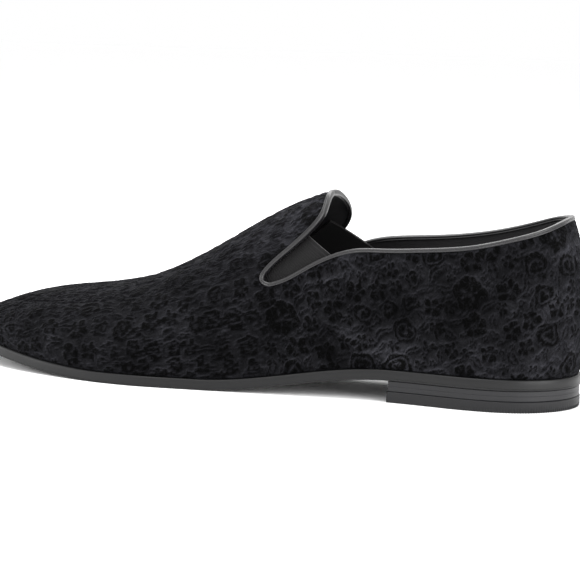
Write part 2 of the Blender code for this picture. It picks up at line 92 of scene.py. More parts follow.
BODY_ROWS = (
    # share, outer, inner, body height, ridge height, ridge shift, fullness up, fullness across
    (0.0000, -0.020, 0.020, 0.0755, 0.5116, 0.050, 2.00, 2.00),
    (0.0227, 0.172, 0.198, 0.0750, 0.5116, 0.040, 2.00, 2.00),
    (0.0714, 0.296, 0.308, 0.0735, 0.5060, 0.020, 2.00, 2.00),
    (0.1445, 0.343, 0.334, 0.0704, 0.4400, 0.000, 2.20, 2.10),
    (0.2652, 0.335, 0.330, 0.0644, 0.3400, 0.000, 2.50, 2.30),
    (0.3810, 0.362, 0.346, 0.0604, 0.3020, -0.030, 2.60, 2.20),
    (0.4666, 0.400, 0.352, 0.0523, 0.2661, 0.000, 2.20, 2.05),
    (0.5672, 0.449, 0.394, 0.0402, 0.2063, 0.040, 1.90, 1.95),
    (0.6629, 0.484, 0.466, 0.0302, 0.1560, 0.060, 1.90, 2.00),
    (0.7383, 0.465, 0.484, 0.0242, 0.1339, 0.072, 1.95, 2.10),
    (0.8088, 0.417, 0.454, 0.0202, 0.1228, 0.078, 2.00, 2.15),
    (0.8792, 0.337, 0.377, 0.0181, 0.1097, 0.075, 2.00, 2.15),
    (0.9496, 0.207, 0.257, 0.0128, 0.0856, 0.062, 2.00, 2.10),
    (0.9852, 0.080, 0.145, 0.0079, 0.0698, 0.052, 2.00, 2.00),
    (1.0000, -0.045, 0.045, 0.0030, 0.0546, 0.045, 2.00, 2.00),
)

BACK_ROWS = (
    # height over the feather edge, push backwards, shares of LENGTH
    (0.000, 0.000),
    (0.080, 0.0125),
    (0.155, 0.0040),
    (0.235, -0.0220),
)

TOPLINE_ROWS = (
    # share of length, outer and inner height over the floor as shares of LENGTH
    (0.4495, 0.1653, 0.1653),
    (0.4364, 0.1695, 0.1700),
    (0.4012, 0.1892, 0.1912),
    (0.3659, 0.2092, 0.2130),
    (0.3256, 0.2224, 0.2240),
    (0.2804, 0.2254, 0.2287),
    (0.2250, 0.2296, 0.2337),
    (0.1495, 0.2389, 0.2460),
    (0.0871, 0.2531, 0.2619),
    (0.0398, 0.2656, 0.2739),
    (0.0000, 0.2808, 0.2808),
)

TONGUE_ROWS = (
    # rise as a share of the girth left up to the ridge, outer and inner share of length
    (0.000, 0.4495, 0.4495),
    (0.030, 0.4585, 0.4585),
    (0.075, 0.4615, 0.4615),
    (0.130, 0.4565, 0.4520),
    (0.270, 0.4280, 0.4060),
    (0.420, 0.3985, 0.3838),
    (0.560, 0.3830, 0.3812),
    (0.700, 0.3818, 0.3840),
    (0.860, 0.3846, 0.3864),
    (1.000, 0.3878, 0.3878),
)

GORE_CORNERS = {
    # share of length, outer and inner height over the floor as shares of LENGTH
    "front foot": (0.4967, 0.1812, 0.1812),
    "back foot": (0.4736, 0.1339, 0.1339),
    "front top": (0.4143, 0.2491, 0.2536),
    "back top": (0.3478, 0.2048, 0.2078),
}

# How finely the surfaces are made
SECTION_STEPS = 72
LINE_STEPS = 200
PLAN_STEP = 2e-4
NORMAL_STEP = 1.5e-3
BLOCK = 20000
VAMP_ROWS = 208
WALL_STEPS = 100
TONGUE_STEPS = 128
QUARTER_STEPS = 430
EDGE_TONGUE_STEPS = 150
EDGE_QUARTER_STEPS = 240
LINING_SHARE = 4
CREASE_STEPS = 60
SEAM_STEPS = 200
GORE_ROWS = 150
GORE_COLUMNS = 60
SOLE_STEPS = 160
HEEL_STEPS = 560
BREAST_STEPS = 60
SOCK_STEPS = 61
HALVINGS = 30
COARSE_STEP = 3
SHARP_TURN = 38

# Elastic webbing, ribbed rubber and the leather sock
GORE_HEIGHT_MM = 38.0
RIB_PITCH_MM = 1.1
RIB_DEPTH = 0.00012
BEADS_MM = (
    # how far under the top edge, half width
    (0.0, 0.7),
    (2.2, 0.35),
)
BEAD_DEPTH = 0.00022
EDGE_RIB_PITCH_MM = 1.3
EDGE_RIB_DEPTH = 0.0004
EDGE_RIB_END = 0.17
EDGE_RIB_FADE = 0.03
TREAD_PER_METRE = 80.0
SOCK_CUP = 0.0006
SOCK_ROLL = 0.0022
SOCK_ROLL_START = 0.97

# Relief of the velvet
PILE_MM = 0.65
PILE_LEAN_MM = 0.7
EDGE_FADE_MM = 3.0
FOOT_FADE_MM = 2.5
FOOT_FADE_START = 0.25
RAGGED_MM = 0.30
FLOWER_SPARE_MM = 1.5
TURNED_AWAY = 0.25
FLOWER_SEED = 41


def turn_of(share):
    """Even parameter of a share of length: the arc cosine that rounds both ends."""
    return np.arccos(1 - 2 * np.asarray(share, float)) / np.pi


def share_of(turn):
    """Share of length of the even parameter."""
    return (1 - np.cos(np.pi * np.asarray(turn, float))) / 2


def smooth(knots, values, at):
    """Natural cubic curve through the table's rows, read at the asked places."""
    knots = np.asarray(knots, float)
    values = np.asarray(values, float)
    order = np.argsort(knots)
    knots = knots[order]
    values = values[order]
    gaps = np.diff(knots)
    slopes = np.diff(values) / gaps
    count = len(knots)
    system = np.eye(count)
    right = np.zeros(count)
    for row in range(1, count - 1):
        system[row, row - 1] = gaps[row - 1]
        system[row, row] = 2 * (gaps[row - 1] + gaps[row])
        system[row, row + 1] = gaps[row]
        right[row] = 6 * (slopes[row] - slopes[row - 1])
    bend = np.linalg.solve(system, right)
    at = np.asarray(at, float)
    piece = np.clip(np.searchsorted(knots, at) - 1, 0, count - 2)
    before = at - knots[piece]
    after = knots[piece + 1] - at
    gap = gaps[piece]
    cubes = (bend[piece] * after**3 + bend[piece + 1] * before**3) / (6 * gap)
    left = (values[piece] / gap - bend[piece] * gap / 6) * after
    return cubes + left + (values[piece + 1] / gap - bend[piece + 1] * gap / 6) * before


def column(rows, number, turn):
    """One column of a table of sections, read at the even parameter."""
    table = np.array(rows)
    return smooth(turn_of(table[:, 0]), table[:, number], turn)


def underside(turn):
    """Height of the outsole's underside: seat, waist, tread and toe spring."""
    share = share_of(turn)
    waist = np.clip((share - HEEL_SEAT_END) / (BALL_CONTACT - HEEL_SEAT_END), 0, 1)
    toe = np.clip((share - TOE_LIFT_START) / (1 - TOE_LIFT_START), 0, 1)
    return HEEL_HEIGHT * (1 - waist * waist * (3 - 2 * waist)) + TOE_SPRING * toe**TOE_POWER


def turn_at(around):
    """Even parameter of a place round the shoe, taken back into one lap."""
    return np.abs((around + 1) % 2 - 1)


def feather_height(turn):
    """Height of the edge where the upper turns under, above the outsole."""
    return underside(turn) + SOLE_THICKNESS + CURVED_GAP


def plan(around, inset):
    """Plan of the outsole moved inwards: the edge curve less its unit normal times the inset."""
    def edge(place):
        wrapped = (np.asarray(place, float) + 1) % 2 - 1
        turn = np.abs(wrapped)
        outer = -column(OUTLINE_ROWS, 1, turn)
        inner = column(OUTLINE_ROWS, 2, turn)
        half_width = np.where(wrapped < 0, outer, inner) * BALL_WIDTH
        return HEEL_BACK - LENGTH * share_of(turn), half_width

    x_before, y_before = edge(around - PLAN_STEP)
    x_after, y_after = edge(around + PLAN_STEP)
    x_along = x_after - x_before
    y_along = y_after - y_before
    length = np.hypot(x_along, y_along)
    x_mid, y_mid = edge(around)
    return x_mid - inset * y_along / length, y_mid + inset * x_along / length


def last_block(around, girth):
    """Points of the last: a parabola from the feather edge out to the widest body, then a
    superellipse over to the ridge, read at a share of the section's arc length."""
    around = (around + 1) % 2 - 1
    around = np.where(girth > 1, -around, around)
    girth = np.where(girth > 1, 2 - girth, girth)
    turn = np.abs(around)
    side = np.where(around < 0, -1.0, 1.0)
    foot = feather_height(turn)
    x_foot, y_foot = plan(around, SOLE_MARGIN)
    x_other, _ = plan(-around, SOLE_MARGIN)
    outer = column(BODY_ROWS, 1, turn)
    inner = column(BODY_ROWS, 2, turn)
    y_body = side * np.where(side < 0, outer, inner) * BALL_WIDTH
    z_body = foot + column(BODY_ROWS, 3, turn) * LENGTH
    z_ridge = column(BODY_ROWS, 4, turn) * LENGTH
    y_ridge = column(BODY_ROWS, 5, turn) * BALL_WIDTH
    up = 2 / column(BODY_ROWS, 6, turn)
    across = 2 / column(BODY_ROWS, 7, turn)
    swing = np.linspace(0, np.pi / 2, SECTION_STEPS)
    climb = np.linspace(0, 1, SECTION_STEPS // 4)[:-1]

    def spread(values):
        return values[..., None]

    low_y = spread(y_body) + spread(y_foot - y_body) * (1 - climb) ** 2
    low_z = spread(foot) + spread(z_body - foot) * climb
    high_y = spread(y_ridge) + spread(y_body - y_ridge) * np.cos(swing) ** spread(across)
    high_z = spread(z_body) + spread(z_ridge - z_body) * np.sin(swing) ** spread(up)
    high_y[..., -1] = y_ridge
    y_all = np.concatenate([low_y, high_y], axis=-1)
    z_all = np.concatenate([low_z, high_z], axis=-1)
    steps = np.hypot(np.diff(y_all, axis=-1), np.diff(z_all, axis=-1))
    run = np.concatenate([np.zeros(steps.shape[:-1] + (1,)), np.cumsum(steps, axis=-1)], axis=-1)
    goal = girth * run[..., -1]
    piece = np.clip((run < spread(goal)).sum(axis=-1) - 1, 0, run.shape[-1] - 2)

    def pick(values, number):
        return np.take_along_axis(values, spread(number), axis=-1)[..., 0]

    start = pick(run, piece)
    part = (goal - start) / np.maximum(pick(run, piece + 1) - start, 1e-12)
    y = pick(y_all, piece) * (1 - part) + pick(y_all, piece + 1) * part
    z = pick(z_all, piece) * (1 - part) + pick(z_all, piece + 1) * part
    x = x_foot + ((x_foot + x_other) / 2 - x_foot) * girth**2
    back = np.array(BACK_ROWS)
    push = smooth(back[:, 0], back[:, 1], (z - foot) / LENGTH) * LENGTH
    fade = np.clip(1 - share_of(turn) / BACK_CURVE_END, 0, 1) ** 2
    return np.stack([x + push * fade, y, z], axis=-1)


def last(around, girth):
    """Points of the last for arrays of any shape, worked out in blocks to spare memory."""
    around, girth = np.broadcast_arrays(np.asarray(around, float), np.asarray(girth, float))
    flat_around = around.ravel()
    flat_girth = girth.ravel()
    blocks = []
    for start in range(0, flat_around.size, BLOCK):
        piece = slice(start, start + BLOCK)
        blocks.append(last_block(flat_around[piece], flat_girth[piece]))
    return np.concatenate(blocks).reshape(around.shape + (3,))


def outward(around, girth):
    """Unit normal of the last: the cross product of its slopes along and over."""
    low = np.maximum(girth - NORMAL_STEP, 0)
    along = last(around + NORMAL_STEP, girth) - last(around - NORMAL_STEP, girth)
    over = last(around, girth + NORMAL_STEP) - last(around, low)
    return unit(np.cross(along, over))


def girth_at(around, height):
    """Share of the girth where a section reaches a height, by halving the interval."""
    low = np.zeros(np.shape(around))
    high = np.ones(np.shape(around))
    for _ in range(HALVINGS):
        middle = (low + high) / 2
        below = last(around, middle)[..., 2] < height
        low = np.where(below, middle, low)
        high = np.where(below, high, middle)
    return (low + high) / 2


def evenly(around, girth, count):
    """Equal steps of arc length along a line on the last."""
    points = last(around, girth)
    lengths = np.linalg.norm(np.diff(points, axis=0), axis=-1)
    run = np.concatenate([[0], np.cumsum(lengths)])
    goals = np.linspace(0, run[-1], count)
    return np.interp(goals, run, around), np.interp(goals, run, girth)


def along_rows(rows, weight):
    """Both columns of a table as one smooth line through its rows."""
    table = np.array(rows)
    steps = np.hypot(np.diff(table[:, 0]), weight * np.diff(table[:, 1]))
    run = np.concatenate([[0], np.cumsum(steps)])
    places = np.linspace(0, run[-1], LINE_STEPS)
    return smooth(run, table[:, 0], places), smooth(run, table[:, 1], places)


def side_column(side):
    """Column of a table that holds the side's own value: the outer one, then the inner."""
    return 1 if side < 0 else 2


def quarter_top(side):
    """Top edge of one quarter, from the foot of the notch to the back of the heel."""
    table = np.array(TOPLINE_ROWS)
    share, height = along_rows(table[:, [0, side_column(side)]], 1.0)
    around = side * turn_of(np.clip(share, 0, 1))
    return around, girth_at(around, height * LENGTH)


def tongue_edge(side):
    """Back edge of the vamp, from the foot of the notch to the ridge."""
    table = np.array(TONGUE_ROWS)
    share, rise = along_rows(table[:, [side_column(side), 0]], RISE_WEIGHT)
    around = side * turn_of(share)
    foot_share, foot_height = TOPLINE_ROWS[0][:2]
    foot = girth_at(np.array([side * turn_of(foot_share)]), foot_height * LENGTH)[0]
    return around, foot + (1 - foot) * np.clip(rise, 0, 1)


def unit(vectors):
    """Vectors scaled to length one."""
    return vectors / np.maximum(np.linalg.norm(vectors, axis=-1, keepdims=True), 1e-12)


def grid_normals(points):
    """Unit normals of a grid of points: the cross product of its two central differences.

    A row that shrinks to a point or a line takes the normals of the row beside it.
    """
    along = np.gradient(points, axis=0)
    over = np.gradient(points, axis=1)
    cross = np.cross(along, over)
    size = np.linalg.norm(cross, axis=-1)
    normals = cross / np.maximum(size, 1e-18)[..., None]
    if np.median(size[0]) < 0.2 * np.median(size[1]):
        normals[0] = normals[1]
    return normals


# Ways into Blender
def colour(code):
    """sRGB hex value turned to linear red, green, blue and alpha."""
    values = []
    for place in (0, 2, 4):
        part = int(code[place:place + 2], 16) / 255
        values.append(part / 12.92 if part <= 0.04045 else ((part + 0.055) / 1.055) ** 2.4)
    return (*values, 1.0)


def grid_numbers(points):
    """Number of each point of a grid, counted row by row."""
    return np.arange(points.shape[0] * points.shape[1]).reshape(points.shape[:2])


def grid_quads(rows, columns, wrap=False):
    """Corner numbers of the quads of a grid, closed across its columns when wrapped."""
    numbers = np.arange(rows * columns).reshape(rows, columns)
    if wrap:
        numbers = np.concatenate([numbers, numbers[:, :1]], axis=1)
    quads = np.stack([numbers[:-1, :-1], numbers[1:, :-1], numbers[1:, 1:], numbers[:-1, 1:]], axis=-1)
    return quads.reshape(-1, 4)


def add_piece(name, points, quads, material, replaced=(), marks=None, caps=()):
    """Mesh object from whole arrays; marks are point values that its material reads."""
    points = np.asarray(points, float).reshape(-1, 3)
    mesh = bpy.data.meshes.new(name)
    mesh.vertices.add(len(points))
    mesh.vertices.foreach_set("co", points.ravel())
    sizes = [4] * len(quads) + [len(cap) for cap in caps]
    corners = np.concatenate([np.asarray(quads).ravel(), *[np.asarray(cap) for cap in caps]])
    mesh.loops.add(len(corners))
    mesh.loops.foreach_set("vertex_index", corners.astype(int))
    mesh.polygons.add(len(sizes))
    mesh.polygons.foreach_set("loop_start", np.concatenate([[0], np.cumsum(sizes)[:-1]]).astype(int))
    mesh.polygons.foreach_set("use_smooth", np.ones(len(sizes), bool))
    for mark, values in (marks or {}).items():
        layer = mesh.attributes.new(mark, "FLOAT", "POINT")
        layer.data.foreach_set("value", np.asarray(values, np.float32).ravel())
    mesh.update(calc_edges=True)
    mesh.validate()
    mesh.materials.append(material)
    piece = bpy.data.objects.new(name, mesh)
    bpy.context.scene.collection.objects.link(piece)
    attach(piece, "root")
    if replaced:
        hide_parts(*replaced)
    return piece


def add_node(tree, kind, settings=None, links=None):
    """Adds one node: settings go to its fields or sockets, links come from other nodes."""
    node = tree.nodes.new("ShaderNode" + kind)
    for key, value in (settings or {}).items():
        if isinstance(key, str) and hasattr(node, key):
            setattr(node, key, value)
        else:
            node.inputs[key].default_value = value
    for key, (source, socket) in (links or {}).items():
        tree.links.new(source.outputs[socket], node.inputs[key])
    return node


def new_material(name, settings):
    """Material with its principled shader's constant values set."""
    made = bpy.data.materials.new(name)
    made.use_nodes = True
    shader = made.node_tree.nodes["Principled BSDF"]
    for key, value in settings.items():
        shader.inputs[key].default_value = value
    return made, made.node_tree, shader


# The flowers of the velvet, each a function of places across and along its own plane in mm.
# Each returns the height of the pile and how dark it is, where the lines between petals
# are burnt down to the ground
LINE_MM = 0.36


def lobes(across, along, turn, petals, waist):
    """Polar places, and the radius over an edge that swells by the cosine of the petals."""
    radius = np.hypot(across, along)
    angle = np.arctan2(along, across) + turn
    return radius, angle, radius / (1 - waist * (0.5 - 0.5 * np.cos(petals * angle)))


def within(gap_mm):
    """Soft step at the edge of a form, as wide as the pile's own lean; the gap grows inwards."""
    return np.clip(gap_mm / PILE_LEAN_MM + 0.5, 0, 1)


def line(gap_mm):
    """Bell across a burnt line, one where the gap is none."""
    return np.exp(-(gap_mm / LINE_MM) ** 2)


def burnt(shape, inside, parted, sunk, paled):
    """Height and darkness: the shape and its inside, each less its share of the burnt lines."""
    return shape * (1 - sunk * parted), inside * (1 - paled * parted)


def rose(across, along, size, turn):
    """Rose: a spiral line whose turns open with the radius, crossed by the ends of petals."""
    radius, angle, lobed = lobes(across, along, turn, petals=5, waist=0.14)
    inside = within(size - lobed)
    turns = max(size / 3.4, 1.6)
    phase = (radius / size * turns - angle / (2 * np.pi) + 0.10 * np.sin(3 * angle)) % 1.0
    gap = np.minimum(phase, 1 - phase) * size / turns
    ends = np.abs(np.sin(1.5 * angle + 2.2 * radius / size * turns)) * radius
    parted = np.maximum(line(gap), 0.75 * line(ends * 1.2) * (radius > 0.3 * size))
    curl = 0.62 + 0.38 * np.sin(np.pi * phase)
    return burnt(inside * curl, inside, parted, sunk=0.75, paled=0.60)


def bloom(across, along, size, turn):
    """Open bloom: petals parted by lines that start outside a heart of stamens."""
    radius, angle, lobed = lobes(across, along, turn, petals=5, waist=0.24)
    inside = within(size - lobed)
    gap = np.abs(np.sin(2.5 * angle + 0.5 * np.pi)) * radius * 0.5
    parted = line(gap) * np.clip((radius / size - 0.25) / 0.2, 0, 1)
    heart = np.clip((0.27 * size - radius) / 0.5, 0, 1)
    stamens = 0.5 + 0.5 * np.cos(7 * angle) * np.cos(radius / size * 30)
    parted = np.maximum(parted, heart * stamens)
    dome = 1 - 0.35 * (radius / size) ** 2
    return burnt(inside * dome, inside, parted, sunk=0.7, paled=0.55)


def anemone(across, along, size, turn):
    """Great dark bloom: full petals hardly parted, with light anthers in a ring off its heart."""
    radius, angle, lobed = lobes(across, along, turn, petals=6, waist=0.12)
    inside = within(size - lobed)
    gap = np.abs(np.sin(3 * angle + 0.5 * np.pi)) * radius * 0.4
    parted = 0.7 * line(gap) * np.clip((radius / size - 0.62) / 0.2, 0, 1)
    ring = np.exp(-((radius / size - 0.34) / 0.10) ** 2) * np.clip(np.cos(5 * angle), 0, 1) ** 2
    eye = np.exp(-(radius / (0.13 * size)) ** 2)
    parted = np.maximum(parted, np.maximum(ring, 0.8 * eye))
    return burnt(inside, inside, parted, sunk=0.6, paled=0.60)


def floret(across, along, size, turn):
    """Small five-petalled flower with a light dot at its heart."""
    radius, _, lobed = lobes(across, along, turn, petals=5, waist=0.40)
    inside = within(size - lobed)
    dot = np.exp(-(radius / (0.26 * size)) ** 2)
    return burnt(inside, inside, dot, sunk=0.5, paled=0.7)


def leaf(across, along, size, turn):
    """Pointed leaf: a lens with a burnt midrib and slanting side veins."""
    cosine, sine = np.cos(turn), np.sin(turn)
    length = (across * cosine + along * sine) / size
    width = along * cosine - across * sine + 0.14 * size * (length**2 - 0.4)
    half = 0.40 * size * np.clip(1 - length**2, 0, 1) ** 0.75
    inside = within(half - np.abs(width)) * (np.abs(length) < 1)
    veins = 0.45 * line(np.abs(np.sin(7 * length - 2.2 * np.abs(width) / (0.4 * size))) * 0.8)
    return burnt(inside, inside, np.maximum(line(width), veins), sunk=0.7, paled=0.55)


def bud(across, along, size, turn):
    """Round bud, burnt a little along one line."""
    inside = within(size - np.hypot(across, along))
    cut = line(across * np.sin(turn) + along * np.cos(turn))
    return burnt(inside, inside, cut, sunk=0.5, paled=0.5)


FORMS = {
    # form: (function, lowest size in mm, highest size in mm, room it takes as a share of its size)
    "rose": (rose, 5.5, 8.5, 0.86),
    "anemone": (anemone, 7.0, 8.8, 0.90),
    "bloom": (bloom, 4.0, 6.4, 0.88),
    "middle": (bloom, 2.6, 3.8, 0.90),
    "leaf": (leaf, 3.6, 5.6, 0.62),
    "floret": (floret, 1.5, 2.4, 0.95),
    "bud": (bud, 0.7, 1.1, 1.0),
}

# Flowers charted on the outer side
CHART = {
    # form: x and z in mm, size in mm, turn in degrees
    "rose": (
        (-227, 19, 3.9, 20), (-174, 25, 4.7, 120), (-163, 26, 6.5, 65), (-146, 18, 5.6, 10),
        (-137, 19, 4.6, 200), (-174, 41, 3.8, 70), (-137, 48, 4.2, 60), (-120, 32, 6.0, 210),
        (-109, 34, 6.0, 330), (-102, 22, 6.0, 260), (-136, 11, 4.6, 120), (-99, 13, 3.7, 90),
        (-120, 45, 5.1, 20), (-113, 58, 4.2, 0), (-96, 72, 3.2, 100), (-64, 53, 4.5, 30),
        (-50, 41, 5.0, 60), (-39, 43, 4.5, 190), (-28, 58, 4.5, 10), (-29, 47, 4.5, 300),
        (-31, 34, 6.3, 120), (27, 67, 6.7, 200), (29, 54, 5.8, 80), (31, 36, 6.7, 20),
    ),
    "leaf": (
        (-217, 23, 4.3, 150), (-202, 13, 4.3, 60), (-213, 31, 3.9, 160), (-172, 10, 4.2, 40),
        (-121, 56, 4.2, 120), (-76, 51, 4.1, 30), (-60, 62, 4.5, 145), (-48, 61, 4.1, 160),
        (-60, 18, 3.6, 30), (-18, 60, 5.4, 50), (-13, 64, 3.6, 165), (-41, 32, 4.5, 35),
        (-41, 26, 4.1, 45), (-27, 25, 4.5, 40), (8, 64, 4.9, 110), (25, 50, 4.0, 100),
        (-11, 20, 3.1, 20), (9, 19, 3.6, 170), (36, 24, 3.2, 150),
    ),
    "bloom": (
        (-203, 23, 5.2, 40), (-210, 14, 3.8, 0), (-196, 31, 4.8, 75), (-187, 23, 5.7, 200),
        (-149, 30, 5.6, 140), (-140, 32, 4.6, 20), (-189, 11, 5.7, 100), (-156, 17, 4.6, 80),
        (-129, 20, 4.2, 50), (-127, 30, 4.6, 300), (-160, 36, 4.2, 100), (-135, 39, 4.6, 30),
        (-151, 44, 4.2, 130), (-100, 36, 4.1, 60), (-80, 23, 5.5, 90), (-92, 22, 4.1, 30),
        (-113, 18, 4.1, 0), (-123, 12, 4.6, 200), (-110, 12, 4.1, 40), (-95, 45, 5.5, 170),
        (-108, 48, 5.1, 60), (-107, 61, 3.7, 150), (-109, 67, 3.3, 60), (-74, 34, 4.1, 20),
        (-64, 41, 5.5, 240), (-54, 50, 5.4, 150), (-44, 52, 5.0, 45), (-67, 22, 5.0, 130),
        (-38, 61, 3.6, 70), (-18, 46, 4.9, 70), (-51, 27, 4.1, 20), (-16, 36, 4.0, 10),
        (-2, 67, 5.3, 30), (1, 39, 6.2, 330), (15, 55, 5.8, 200), (12, 47, 3.5, 30),
        (17, 37, 4.9, 130), (23, 30, 4.0, 0), (8, 27, 4.4, 60), (38, 50, 3.6, 110),
        (40, 37, 3.6, 60), (20, 70, 3.1, 0), (15, 68, 3.5, 40),
    ),
    "middle": (
        (-226, 29, 2.9, 10), (-206, 33, 2.9, 30), (-166, 15, 3.3, 0), (-177, 35, 3.3, 40),
        (-190, 36, 2.9, 0), (-155, 40, 2.8, 10), (-129, 52, 3.3, 60), (-102, 68, 2.8, 40),
        (-67, 60, 2.7, 50), (-19, 28, 3.1, 80), (-9, 27, 3.6, 0), (-2, 26, 3.1, 50),
        (15, 20, 2.7, 30), (39, 57, 3.2, 10), (31, 27, 2.7, 30), (27, 20, 2.7, 90),
        (-23, 19, 2.7, 10),
    ),
    "anemone": (
        (-87, 36, 8.2, 10), (-2, 53, 8.0, 60),
    ),
}

SCATTER_ROUNDS = (
    # form, tries
    ("anemone", 60),
    ("rose", 900),
    ("bloom", 2400),
    ("leaf", 3000),
    ("middle", 5000),
    ("leaf", 4000),
    ("floret", 12000),
    ("bud", 9000),
)


def charted_flowers():
    """The charted flowers on the outer side, each with its centre and normal on the last."""
    flowers = []
    for form, rows in CHART.items():
        x, z, sizes, turns = np.array(rows, float).T
        around = -turn_of(np.clip((HEEL_BACK - x / 1000) / LENGTH, 0, 1))
        girth = girth_at(around, z / 1000)
        places = zip(last(around, girth), outward(around, girth), sizes, np.radians(turns))
        flowers.extend((form, *place) for place in places)
    return flowers


def scattered_flowers(points, normals, placed):
    """More flowers over the rest: seeded darts, kept where they touch no other."""
    rng = np.random.default_rng(FLOWER_SEED)
    centres = np.array([flower[1] for flower in placed])
    rooms = np.array([flower[3] * FORMS[flower[0]][3] / 1000 for flower in placed])
    flowers = list(placed)
    for form, tries in SCATTER_ROUNDS:
        _, low, high, room_share = FORMS[form]
        numbers = rng.integers(0, len(points), tries)
        sizes = rng.uniform(low, high, tries)
        turns = rng.uniform(0, 2 * np.pi, tries)
        for number, size, turn in zip(numbers, sizes, turns):
            room = size * room_share / 1000
            gaps = np.linalg.norm(centres - points[number], axis=1)
            if (gaps < rooms + room).any():
                continue
            centres = np.vstack([centres, points[number]])
            rooms = np.append(rooms, room)
            flowers.append((form, points[number], normals[number], size, turn))
    return flowers


def wander(points):
    """Small smooth shifts in mm that bend each outline: sines of place, 7 to 17 mm long."""
    x, y, z = np.moveaxis(points * 1000, -1, 0)
    first = 0.55 * np.sin(0.71 * x + 0.33 * z + 1.0) + 0.40 * np.sin(0.52 * z - 0.61 * y + 0.37 * x)
    second = 0.55 * np.sin(0.66 * z - 0.29 * x + 2.0) + 0.40 * np.sin(0.57 * y + 0.48 * x - 0.31 * z)
    ragged = np.sin(2.9 * x + 1.3 * z) * np.sin(2.1 * z - 1.7 * y + 0.9 * x)
    return first + RAGGED_MM * ragged, second + RAGGED_MM * np.roll(ragged, 1)


def floral_relief(points, normals, flowers):
    """Height and darkness of the pile, from each flower seen on its own tangent plane."""
    shape = points.shape[:-1]
    points = points.reshape(-1, 3)
    normals = normals.reshape(-1, 3)
    height = np.zeros(len(points))
    dark = np.zeros(len(points))
    order = np.argsort(points[:, 0])
    sorted_x = points[order, 0]
    shift_across, shift_along = wander(points)
    for form, centre, normal, size, turn in flowers:
        reach = (size + FLOWER_SPARE_MM) / 1000
        first, after = np.searchsorted(sorted_x, [centre[0] - reach, centre[0] + reach])
        near = order[first:after]
        offset = points[near] - centre
        close = (np.abs(offset[:, 1:]) < reach).all(axis=1) & (normals[near] @ normal > TURNED_AWAY)
        near = near[close]
        offset = offset[close] * 1000
        across_way = unit(np.cross([0.05, 0.02, 1.0], normal))
        along_way = np.cross(normal, across_way)
        across = offset @ across_way + shift_across[near]
        along = offset @ along_way + shift_along[near]
        rise, pile = FORMS[form][0](across, along, size, turn)
        height[near] = np.maximum(height[near], rise)
        dark[near] = np.maximum(dark[near], pile)
    return height.reshape(shape), dark.reshape(shape)


# Materials
NOISE_RANGE = {"From Min": 0.3, "From Max": 0.7}

NAP_NOISES = (
    # how many in a metre, detail, distortion, darkest, lightest, bump strength and height in
    # metres: threads of 0.4 mm, tufts of 2 mm, leaning tufts of 7 mm, brushed patches of 17 mm
    (2400.0, 1.0, 0.0, 0.72, 1.30, 0.60, 0.0003),
    (480.0, 3.0, 0.0, 0.78, 1.24, 0.60, 0.0006),
    (150.0, 3.0, 0.8, 0.68, 1.34, 0.90, 0.0022),
    (58.0, 2.0, 0.0, 0.70, 1.34, 0.0, 0.0),
)
CURLS_PER_METRE = 330.0
CURL_WIDTH = 0.035
CURL_SHARE = 0.40
RIM_HIGHLIGHT_GAIN = 2.2
WEFT_TURNS = 380.0


